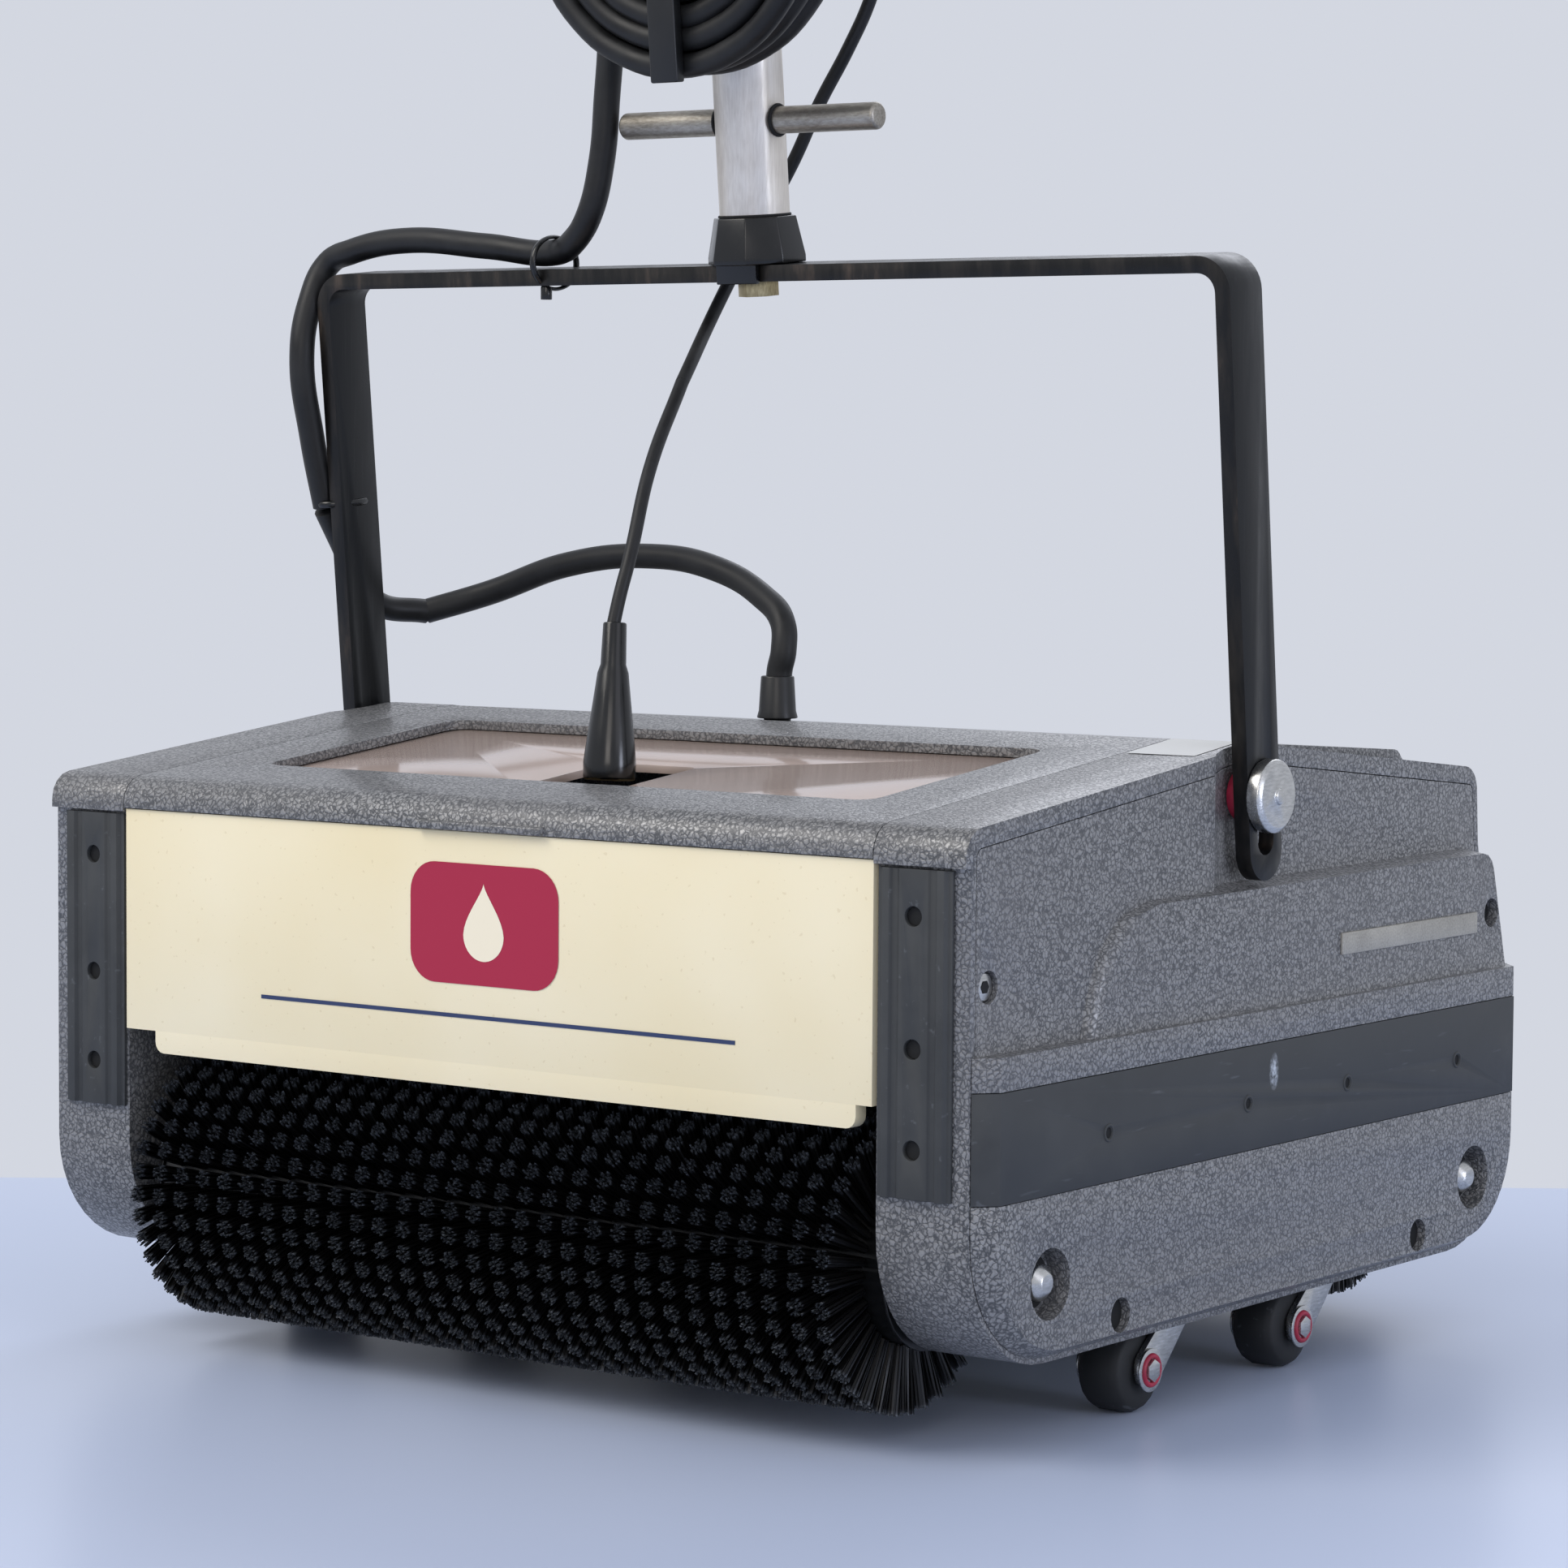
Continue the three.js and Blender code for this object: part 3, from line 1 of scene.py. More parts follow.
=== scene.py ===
import json
import math
import random

import bpy
from mathutils import Matrix, Vector

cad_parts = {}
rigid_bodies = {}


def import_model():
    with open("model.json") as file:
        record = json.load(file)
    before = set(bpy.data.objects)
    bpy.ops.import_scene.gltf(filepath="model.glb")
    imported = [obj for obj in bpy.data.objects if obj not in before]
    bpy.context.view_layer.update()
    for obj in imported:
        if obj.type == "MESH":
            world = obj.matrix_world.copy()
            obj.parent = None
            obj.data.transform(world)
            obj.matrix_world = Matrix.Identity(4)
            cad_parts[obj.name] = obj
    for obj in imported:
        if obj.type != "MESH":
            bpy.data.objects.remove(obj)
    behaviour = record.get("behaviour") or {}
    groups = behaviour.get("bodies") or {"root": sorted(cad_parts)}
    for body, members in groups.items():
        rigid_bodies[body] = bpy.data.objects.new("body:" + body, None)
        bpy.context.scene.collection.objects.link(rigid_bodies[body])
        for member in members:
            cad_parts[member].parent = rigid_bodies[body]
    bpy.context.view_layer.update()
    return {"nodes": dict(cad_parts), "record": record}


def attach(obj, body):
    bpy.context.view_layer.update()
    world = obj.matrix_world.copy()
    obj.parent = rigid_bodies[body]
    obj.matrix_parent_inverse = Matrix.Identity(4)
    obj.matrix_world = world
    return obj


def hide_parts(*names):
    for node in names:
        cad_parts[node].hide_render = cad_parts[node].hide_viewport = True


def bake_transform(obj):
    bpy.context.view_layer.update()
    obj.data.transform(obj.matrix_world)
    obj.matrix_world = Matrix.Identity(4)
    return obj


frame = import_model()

bl_info = {
    "name": "Wet dry floor scrubber",
    "version": (1, 0, 0),
    "blender": (4, 5, 0),
    "location": "View3D > Sidebar > Scrubber",
    "description": "Builds the look of a twin-brush wet and dry floor scrubber on its CAD frame",
    "category": "Object",
}

MM = 0.001
NODES = frame["nodes"]
BODY_OF = {node: body for body, nodes in frame["record"]["behaviour"]["bodies"].items() for node in nodes}
SIDES = {"left": -1, "right": 1}
GOLDEN_ANGLE = math.pi * (3 - math.sqrt(5))
PIVOT = Vector((0, -8.5, 211.5)) * MM
LEAN_ANGLE = math.radians(5.6)
LEAN = Matrix.Rotation(LEAN_ANGLE, 4, "X")
FACING_SIDE = (0, math.pi / 2, 0)
FACING_FRONT = (math.pi / 2, 0, 0)

# Sizes and places in millimetres, on the frame's axes. An x is the right side's, and is mirrored for the left.
AXLES = {"front": -146.5, "rear": 146.5}
AXLE_Z = 59
AXLE_SHADE_X = 202.6
BRUSH_LENGTH = 316
CORE_SURFACE = 26.6
TIP_HIGHLIGHT_START, TIP_HIGHLIGHT_END = 48.2, 50.0  # radii between which the painted highlight at the bristles' tips fades in
CASTORS = {"front": -60, "rear": 44}
CASTOR_X = 183
WHEEL_RADIUS = 15.5
CASTOR_WASHER_OUT = 12.6
BUMPER_X = 182.4
BUMPER_FACE = 186.4
BUMPER_SCREWS = {"front": (181.1, 138, 105.1), "rear": (121, 89)}
COVER_SCREW = (200.6, -174.5, 158.5)
STRIP_FACE, STRIP_MIDDLE = 209.0, 105
STRIP_HOLES = (-112, -21, 49, 132)
SCUFF_Y, SCUFF_Z = -3.6, 114.5
SCUFF_WIDE, SCUFF_HIGH = 3.4, 7.0
PLUG_HOLES = {"front": -103, "rear": 104}
PLUG_HOLE_X, PLUG_HOLE_Z = 206.4, 42.5
HUMP_HOLE = (202.4, 163.6, 157.7)
LEAD_RADIUS = 5
BOWDEN_RADIUS = 2.5


# ---- Helpers: places ----------------------------------------------------------------------
def point(x, y, z):
    """A point of the machine, given in millimetres."""
    return Vector((x, y, z)) * MM


def on_handle(x, v, w):
    """A point measured from the bail's pivot along the leaning handle, in millimetres."""
    return PIVOT + LEAN @ (Vector((x, v, w)) * MM)


# ---- Helpers: objects ---------------------------------------------------------------------
def only(*objects):
    if bpy.context.object and bpy.context.object.mode != "OBJECT":
        bpy.ops.object.mode_set(mode="OBJECT")
    bpy.ops.object.select_all(action="DESELECT")
    for obj in objects:
        obj.select_set(True)
    if objects:
        bpy.context.view_layer.objects.active = objects[0]


def settle(obj, name, material=None, body=None):
    """Names a finished piece, applies its transform, paints it and lets it ride on a body."""
    only(obj)
    bpy.ops.object.transform_apply(location=True, rotation=True, scale=True)
    obj.name = name
    obj.data.name = name
    if material is not None:
        obj.data.materials.clear()
        obj.data.materials.append(material)
    if body:
        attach(obj, body)
    return obj


def edit(*steps):
    """Runs operators on the whole of the active mesh in edit mode."""
    bpy.ops.object.mode_set(mode="EDIT")
    bpy.ops.mesh.select_all(action="SELECT")
    for step in steps:
        step()
    bpy.ops.object.mode_set(mode="OBJECT")


def modify(obj, kind, **settings):
    """Adds a modifier with these settings and applies it."""
    only(obj)
    modifier = obj.modifiers.new(kind.lower(), kind)
    for key, value in settings.items():
        setattr(modifier, key, value)
    bpy.ops.object.modifier_apply(modifier=modifier.name)


def round_edges(obj, width, angle, segments=2):
    modify(
        obj, "BEVEL", width=width * MM, segments=segments, limit_method="ANGLE", angle_limit=math.radians(angle),
        use_clamp_overlap=True, miter_outer="MITER_ARC",
    )


def smooth(obj, angle=35):
    only(obj)
    bpy.ops.object.shade_smooth_by_angle(angle=math.radians(angle))


def fillet(obj, chosen, width, segments):
    """Rounds the edges whose two ends both satisfy chosen, by width millimetres."""
    only(obj)
    bpy.ops.object.mode_set(mode="EDIT")
    bpy.ops.mesh.select_mode(type="EDGE")
    bpy.ops.mesh.select_all(action="DESELECT")
    bpy.ops.object.mode_set(mode="OBJECT")
    where = [vertex.co / MM for vertex in obj.data.vertices]
    for edge in obj.data.edges:
        edge.select = all(chosen(where[v]) for v in edge.vertices)
    bpy.ops.object.mode_set(mode="EDIT")
    bpy.ops.mesh.bevel(offset=width * MM, segments=segments, affect="EDGES", clamp_overlap=True)
    bpy.ops.mesh.select_mode(type="VERT")
    bpy.ops.object.mode_set(mode="OBJECT")


def cast(node, material, edge=0.5, segments=2, angle=30, before=None):
    """A finished piece in the shape of a CAD node, with its sharp edges rounded by edge millimetres."""
    only(NODES[node])
    bpy.ops.object.duplicate()
    obj = bpy.context.object
    bpy.ops.object.parent_clear(type="CLEAR_KEEP_TRANSFORM")
    for key in list(obj.keys()):
        del obj[key]
    if obj.data.has_custom_normals:
        bpy.ops.mesh.customdata_custom_splitnormals_clear()
    edit(
        lambda: bpy.ops.mesh.remove_doubles(threshold=1e-5),
        lambda: bpy.ops.mesh.mark_sharp(clear=True),
        lambda: bpy.ops.mesh.dissolve_limited(angle_limit=math.radians(0.6)),
    )
    if before:
        before(obj)
    if edge:
        round_edges(obj, edge, angle, segments)
    smooth(obj)
    settle(obj, node + "_finish", material, BODY_OF[node])
    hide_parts(node)
    return obj


def cylinder(name, centre, radius, depth, axis, material, body, vertices, edge=0.0):
    rotation = {"X": FACING_SIDE, "Y": FACING_FRONT, "Z": (0, 0, 0)}[axis]
    only()
    bpy.ops.mesh.primitive_cylinder_add(
        vertices=vertices, radius=radius * MM, depth=depth * MM, location=centre, rotation=rotation,
    )
    obj = bpy.context.object
    if edge:
        round_edges(obj, edge, 40)
    smooth(obj, 40)
    return settle(obj, name, material, body)


def torus(name, centre, major, minor, rotation, material, body, around, section, scale=(1, 1, 1)):
    only()
    bpy.ops.mesh.primitive_torus_add(
        location=centre, rotation=rotation, major_segments=around, minor_segments=section,
        major_radius=major * MM, minor_radius=minor * MM,
    )
    obj = bpy.context.object
    obj.scale = scale
    smooth(obj, 60)
    return settle(obj, name, material, body)


def block(name, low, high, material, body, edge):
    only()
    centre = (Vector(low) + Vector(high)) / 2
    bpy.ops.mesh.primitive_cube_add(size=1, location=centre)
    obj = bpy.context.object
    obj.scale = Vector(high) - Vector(low)
    only(obj)
    bpy.ops.object.transform_apply(location=True, rotation=True, scale=True)
    if edge:
        round_edges(obj, edge, 40)
    smooth(obj, 40)
    return settle(obj, name, material, body)


def joined(objects, name):
    only(*objects)
    bpy.ops.object.join()
    return settle(bpy.context.object, name)


# ---- Helpers: cords -----------------------------------------------------------------------
def line(points, smooth_steps):
    """A curve through the points as a Bezier curve object with automatic handles."""
    only()
    bpy.ops.curve.primitive_bezier_curve_add()
    obj = bpy.context.object
    obj.matrix_world = Matrix.Identity(4)
    spline = obj.data.splines[0]
    spline.bezier_points.add(len(points) - len(spline.bezier_points))
    for end, where in zip(spline.bezier_points, points):
        end.co = where
        end.handle_left_type = end.handle_right_type = "AUTO"
    obj.data.dimensions = "3D"
    obj.data.resolution_u = smooth_steps
    obj.data.twist_mode = "MINIMUM"
    return obj


def centreline(obj):
    """The points that a curve without thickness runs through."""
    bpy.context.view_layer.update()
    shape = obj.evaluated_get(bpy.context.evaluated_depsgraph_get()).to_mesh()
    return [v.co.copy() for v in shape.vertices]


def tube(obj, radius):
    obj.data.bevel_depth = radius * MM
    obj.data.bevel_resolution = 5
    obj.data.use_fill_caps = True
    return obj


def bending_cord(name, points, radius, material):
    """A mesh cable through the points, riding on no body. Returns it and its centreline."""
    obj = line(points, 14)
    path = centreline(obj)
    tube(obj, radius)
    only(obj)
    bpy.ops.object.convert(target="MESH")
    obj = bpy.context.object
    smooth(obj, 60)
    settle(obj, name, material)
    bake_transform(obj)
    return obj, path


def riding_cord(name, points, radius, material, body, steps=12):
    """A curve cable through the points that moves with one body. Returns it and its centreline."""
    obj = line(points, steps)
    path = centreline(obj)
    tube(obj, radius)
    settle(obj, name, material, body)
    return obj, path


# ---- Helpers: materials -------------------------------------------------------------------
def colour(code):
    """A linear colour from an sRGB hex code."""
    parts = [int(code[i:i + 2], 16) / 255 for i in (1, 3, 5)]
    return tuple(c / 12.92 if c <= 0.04045 else ((c + 0.055) / 1.055) ** 2.4 for c in parts) + (1.0,)


def node(tree, kind, settings=None, inputs=None):
    """Adds a shader node. An input is a number, a colour code or another node's output."""
    made = tree.nodes.new("ShaderNode" + kind)
    for key, value in (settings or {}).items():
        setattr(made, key, value)
    for key, value in (inputs or {}).items():
        socket = made.inputs[key]
        if isinstance(value, bpy.types.NodeSocket):
            tree.links.new(value, socket)
        elif isinstance(value, str):
            socket.default_value = colour(value)
        else:
            socket.default_value = value
    return made


def material(name, **inputs):
    """A new material's tree, its principled shader and the object's own coordinates."""
    made = bpy.data.materials.new(name)
    made.use_nodes = True
    tree = made.node_tree
    shader = tree.nodes["Principled BSDF"]
    for key, value in inputs.items():
        socket = shader.inputs[key.replace("_", " ")]
        socket.default_value = colour(value) if isinstance(value, str) else value
    coords = node(tree, "TexCoord").outputs["Object"]
    return made, tree, shader, coords


def per_mm(size):
    """A texture's scale for a pattern of this size in millimetres."""
    return 1000.0 / size


def noise(tree, coords, size, detail, roughness=0.55):
    return node(tree, "TexNoise", None, {
        "Vector": coords, "Scale": per_mm(size), "Detail": detail, "Roughness": roughness,
    }).outputs["Fac"]


def stretched(tree, coords, x, y, z):
    return node(tree, "Mapping", None, {"Vector": coords, "Scale": (x, y, z)}).outputs["Vector"]


def ramp(tree, value, *stops):
    """Colours or greys at places along a value: each stop is (place, colour code)."""
    made = node(tree, "ValToRGB", None, {"Fac": value})
    elements = made.color_ramp.elements
    while len(elements) < len(stops):
        elements.new(0.5)
    for element, (place, code) in zip(elements, stops):
        element.position = place
        element.color = colour(code)
    return made.outputs["Color"]


def spread(tree, value, low, high, to_low, to_high):
    """A value's range from low to high mapped to another range."""
    return node(tree, "MapRange", None, {
        "Value": value, "From Min": low, "From Max": high, "To Min": to_low, "To Max": to_high,
    }).outputs["Result"]


def blended(tree, fac, first, second, mode="MIX"):
    made = node(tree, "Mix", {"data_type": "RGBA", "blend_type": mode})
    for index, value in ((0, fac), (6, first), (7, second)):
        socket = made.inputs[index]
        if isinstance(value, bpy.types.NodeSocket):
            tree.links.new(value, socket)
        else:
            socket.default_value = colour(value) if isinstance(value, str) else value
    return made.outputs[2]


def math_node(tree, operation, *values):
    made = node(tree, "Math", {"operation": operation})
    for socket, value in zip(made.inputs, values):
        if isinstance(value, bpy.types.NodeSocket):
            tree.links.new(value, socket)
        else:
            socket.default_value = value
    return made.outputs[0]


def squares(tree, first, second):
    """The sum of two values' squares."""
    return math_node(
        tree, "ADD", math_node(tree, "MULTIPLY", first, first), math_node(tree, "MULTIPLY", second, second),
    )


def bump(tree, shader, height, depth, strength):
    made = node(tree, "Bump", None, {"Height": height, "Distance": depth * MM, "Strength": strength})
    tree.links.new(made.outputs["Normal"], shader.inputs["Normal"])


def link(tree, shader, **sockets):
    for key, socket in sockets.items():
        tree.links.new(socket, shader.inputs[key.replace("_", " ")])


# ---- Looks --------------------------------------------------------------------------------
def hammered(look):
    """Grey hammer-finish enamel: pale cells parted by a dark, curling network."""
    drift_size, drift_reach = 2.4, 2.6 * MM
    made, tree, shader, coords = material("hammered_enamel", Metallic=0.25, Coat_Weight=0.3, Coat_Roughness=0.22)
    drift = node(tree, "TexNoise", None, {
        "Vector": coords, "Scale": per_mm(drift_size), "Detail": 2.0,
    }).outputs["Color"]
    shift = node(tree, "VectorMath", {"operation": "SUBTRACT"}, {0: drift, 1: (0.5, 0.5, 0.5)}).outputs["Vector"]
    wander = node(tree, "VectorMath", {"operation": "MULTIPLY_ADD"}, {
        0: shift, 1: (drift_reach, drift_reach, drift_reach), 2: coords,
    }).outputs["Vector"]
    border = node(tree, "TexVoronoi", {"feature": "DISTANCE_TO_EDGE"}, {
        "Vector": wander, "Scale": per_mm(look.hammer_size),
    }).outputs["Distance"]
    broken = noise(tree, coords, 1.7, 2.0, 0.6)
    inside_cell = spread(tree, border, 0.03, 0.24, 0.0, 0.75)
    cell = math_node(tree, "ADD", inside_cell, spread(tree, broken, 0.3, 0.7, -0.25, 0.35))
    cloud = noise(tree, coords, 70, 3.0)
    base = ramp(tree, cell, (0.05, "#444649"), (0.4, "#747474"), (0.85, "#909090"))
    worn = blended(tree, spread(tree, cloud, 0.3, 0.7, 0.0, 0.4), base, "#6c6b6c")
    link(tree, shader, Base_Color=worn, Roughness=spread(tree, cell, 0.0, 1.0, 0.5, 0.32))
    bump(tree, shader, cell, 0.3, look.hammer_depth)
    return made


def cream():
    """Moulded cream polyethylene: soft sheen, faint specks, and a little light let in at its edges."""
    made, tree, shader, coords = material(
        "cream_plastic", Roughness=0.42, Specular_IOR_Level=0.45, Subsurface_Weight=0.05,
        Subsurface_Radius=(0.004, 0.003, 0.002),
    )
    tint = ramp(tree, noise(tree, coords, 90, 2.0), (0.3, "#eddfb8"), (0.7, "#f3e8c8"))
    specks = ramp(tree, noise(tree, coords, 2.2, 1.0), (0.27, "#cfc1a0"), (0.31, "#ffffff"))
    link(tree, shader, Base_Color=blended(tree, 0.25, tint, specks, "MULTIPLY"))
    bump(tree, shader, noise(tree, coords, 1.2, 2.0), 0.03, 0.4)
    return made


def rubber(name="rubber", tone="#343637", dusty="#444647", scuffed=False):
    """Moulded black rubber, greyed by dust and rubbed in streaks. A strip also has one pale scuff."""
    made, tree, shader, coords = material(name, Roughness=0.6, Specular_IOR_Level=0.4)
    dust = noise(tree, coords, 26, 4.0, 0.65)
    streak = noise(tree, stretched(tree, coords, 1, 0.12, 1), 3.0, 3.0)
    base = blended(tree, spread(tree, dust, 0.35, 0.7, 0.0, 0.8), tone, dusty)
    marks = math_node(tree, "MULTIPLY", ramp(tree, streak, (0.66, "#000000"), (0.74, "#ffffff")), 0.25)
    base = blended(tree, marks, base, "#777b80")
    if scuffed:
        split = node(tree, "SeparateXYZ", None, {"Vector": coords})
        across = math_node(tree, "MULTIPLY_ADD", split.outputs["Y"], 1 / (SCUFF_WIDE * MM), -SCUFF_Y / SCUFF_WIDE)
        above = math_node(tree, "MULTIPLY_ADD", split.outputs["Z"], 1 / (SCUFF_HIGH * MM), -SCUFF_Z / SCUFF_HIGH)
        far = squares(tree, across, above)
        patchy = spread(tree, noise(tree, coords, 1.6, 2.0), 0.35, 0.65, 0.1, 1.0)
        scuff = math_node(tree, "MULTIPLY", spread(tree, far, 0.1, 1.0, 1.0, 0.0), patchy)
        base = blended(tree, scuff, base, "#b9c0c8")
    link(tree, shader, Base_Color=base, Roughness=spread(tree, dust, 0.3, 0.7, 0.48, 0.72))
    bump(tree, shader, dust, 0.15, 0.3)
    return made


def bail_paint():
    """Satin black on the wide faces, worn brown on the narrow edges of the flat bar."""
    bar_edge = (0, 0.9952, 0.0976)  # the way the leaning bar's narrow edges face
    made, tree, shader, coords = material("bail_paint", Specular_IOR_Level=0.3)
    facing = node(tree, "TexCoord").outputs["Normal"]
    along = node(tree, "VectorMath", {"operation": "DOT_PRODUCT"}, {0: facing, 1: bar_edge}).outputs["Value"]
    edge = spread(tree, math_node(tree, "ABSOLUTE", along), 0.55, 0.9, 0.0, 1.0)
    wear = noise(tree, stretched(tree, coords, 1, 1, 0.2), 7, 4.0, 0.6)
    scratches = noise(tree, stretched(tree, coords, 1, 1, 0.04), 1.6, 3.0, 0.6)
    brown = ramp(tree, wear, (0.42, "#0d0d0d"), (0.6, "#211e1b"), (0.78, "#453b33"))
    black = blended(tree, spread(tree, scratches, 0.58, 0.75, 0.0, 0.4), "#101112", "#2c2e2f")
    link(tree, shader, Base_Color=blended(tree, edge, black, brown))
    link(tree, shader, Roughness=spread(tree, wear, 0.3, 0.7, 0.24, 0.45))
    bump(tree, shader, scratches, 0.05, 0.3)
    return made


def glossy_black(name, tone, roughness):
    """Moulded black plastic, polished by handling in patches."""
    made, tree, shader, coords = material(name, Base_Color=tone, Specular_IOR_Level=0.5)
    handled = noise(tree, coords, 14, 3.0)
    link(tree, shader, Roughness=spread(tree, handled, 0.3, 0.7, roughness - 0.06, roughness + 0.1))
    bump(tree, shader, noise(tree, coords, 0.9, 2.0), 0.02, 0.3)
    return made


def cable_sheath():
    """Extruded rubber cable sheath, dull with grime."""
    made, tree, shader, coords = material("cable_sheath", Specular_IOR_Level=0.35)
    grime = noise(tree, coords, 18, 4.0, 0.6)
    link(tree, shader, Base_Color=ramp(tree, grime, (0.35, "#121213"), (0.7, "#232425")))
    link(tree, shader, Roughness=spread(tree, grime, 0.3, 0.7, 0.38, 0.58))
    bump(tree, shader, noise(tree, coords, 1.5, 2.0), 0.04, 0.3)
    return made


def brushed(name, light, dark, roughness, grain, metallic=1.0):
    """Drawn or plated metal, its fine streaks stretched along the axis whose grain value is small."""
    made, tree, shader, coords = material(name, Metallic=metallic)
    streaks = noise(tree, stretched(tree, coords, *grain), 0.8, 4.0, 0.6)
    patch = noise(tree, coords, 22, 3.0)
    mixed = math_node(tree, "ADD", math_node(tree, "MULTIPLY", streaks, 0.5), math_node(tree, "MULTIPLY", patch, 0.5))
    link(tree, shader, Base_Color=ramp(tree, mixed, (0.35, dark), (0.65, light)))
    link(tree, shader, Roughness=spread(tree, mixed, 0.3, 0.7, roughness + 0.12, roughness - 0.04))
    bump(tree, shader, streaks, 0.02, 0.35)
    return made


def crimson():
    """Moulded crimson nylon with a faint mottle."""
    made, tree, shader, coords = material("crimson_plastic", Roughness=0.45)
    link(tree, shader, Base_Color=ramp(tree, noise(tree, coords, 6, 2.0), (0.3, "#8f1d38"), (0.7, "#b02a45")))
    return made


def smoked_pane():
    """Clear acrylic sheet, clouded by wear so that little is seen through it."""
    return material("smoked_pane", Base_Color="#d9c6bc", Roughness=0.12, IOR=1.49, Transmission_Weight=0.3)[0]


def bristle(y):
    """Black nylon with a painted highlight at its cut tips, round a brush axis at this y."""
    made, tree, shader, coords = material(f"bristle_{'front' if y < 0 else 'rear'}", Roughness=0.42)
    split = node(tree, "SeparateXYZ", None, {"Vector": coords})
    dy = math_node(tree, "SUBTRACT", split.outputs["Y"], y * MM)
    dz = math_node(tree, "SUBTRACT", split.outputs["Z"], AXLE_Z * MM)
    radius = math_node(tree, "SQRT", squares(tree, dy, dz))
    # painted highlight: beyond these radii the bristles turn grey, broken into dots by noise
    tip = spread(tree, radius, TIP_HIGHLIGHT_START * MM, TIP_HIGHLIGHT_END * MM, 0.0, 1.0)
    highlight_dots = noise(tree, coords, 1.2, 1.0)
    tip_highlight = blended(tree, spread(tree, highlight_dots, 0.35, 0.65, 0.0, 1.0), "#26292d", "#5b6067")
    link(tree, shader, Base_Color=blended(tree, tip, "#040405", tip_highlight))
    return made


def cast_metal():
    """Unpainted sand-cast aluminium, grainy and dull."""
    made, tree, shader, coords = material("cast_metal", Metallic=0.8, Base_Color="#54565a")
    grain = noise(tree, coords, 2.5, 4.0)
    link(tree, shader, Roughness=spread(tree, grain, 0.3, 0.7, 0.5, 0.7))
    bump(tree, shader, grain, 0.12, 0.5)
    return made


def make_looks(look):
    return {
        "hammered": hammered(look), "cream": cream(), "rubber": rubber(),
        "strip": rubber("strip_rubber", scuffed=True), "wheel": rubber("wheel_rubber", "#1d1e1f", "#2c2d2e"),
        "bail": bail_paint(), "gloss": glossy_black("gloss_black", "#08090a", 0.2),
        "satin": glossy_black("satin_black", "#0f1011", 0.34), "cable": cable_sheath(),
        "aluminium": brushed("satin_aluminium", "#e6e0d6", "#cfc8be", 0.42, (1, 1, 0.08), 0.75),
        "zinc": brushed("worn_zinc", "#b5b0a6", "#7d776d", 0.4, (0.3, 1, 1), 0.85),
        "steel": brushed("stainless", "#d4d4d2", "#a2a2a0", 0.25, (1, 0.2, 1)),
        "yellowed": brushed("passivated_steel", "#b9ab86", "#7d7052", 0.35, (1, 1, 0.3)),
        "red": crimson(), "pane": smoked_pane(), "metal": cast_metal(),
        "bare": brushed("bare_lettering_metal", "#b9b5ab", "#8b8880", 0.45, (1, 1, 1), 0.5),
        # painted shade: the near-black material of the discs and rings that stand in for shade in holes and joints
        "dark": material("painted_hole_shade", Base_Color="#08090a", Roughness=0.8)[0],
    }


LOOKS = {}


# ---- Body ---------------------------------------------------------------------------------
def soften_hump(cover):
    """Rounds the hump's face where it falls away to the cover."""
    fillet(cover, lambda p: abs(p.x) > 206.5 and 131 < p.z < 183 and p.y < -80, 3.4, 5)


def build_body():
    for side in SIDES:
        cast(f"{side}_cheek", LOOKS["hammered"], 1.2, 3)
        cast(f"{side}_side_cover", LOOKS["hammered"], 1.0, 3, before=soften_hump)
        cast(f"{side}_side_strip", LOOKS["strip"], 0.5)
        for place in ("front", "rear"):
            cast(f"{place}_bumper_{side}", LOOKS["rubber"], 0.35)
    cast("rear_cover", LOOKS["hammered"], 0.8)
    cast("clean_water_tank", LOOKS["cream"], 1.0, 3)
    cast("recovery_tray", LOOKS["cream"], 1.0)
    for name, look in (
        ("centre_frame", "metal"), ("drive_motor", "metal"), ("transfer_drum", "steel"), ("drum_scraper", "rubber"),
        ("drive_belt", "rubber"), ("motor_pulley", "steel"), ("idler_pulley", "steel"), ("lid_hinge_rod", "steel"),
    ):
        cast(name, LOOKS[look], 0.4)


def painted_hole_shade(name, where, radius, depth, vertices, axis="X"):
    """A black disc of painted shade, laid where a hole or recess in the chassis is in shade."""
    cylinder(name, where, radius, depth, axis, LOOKS["dark"], "chassis", vertices)


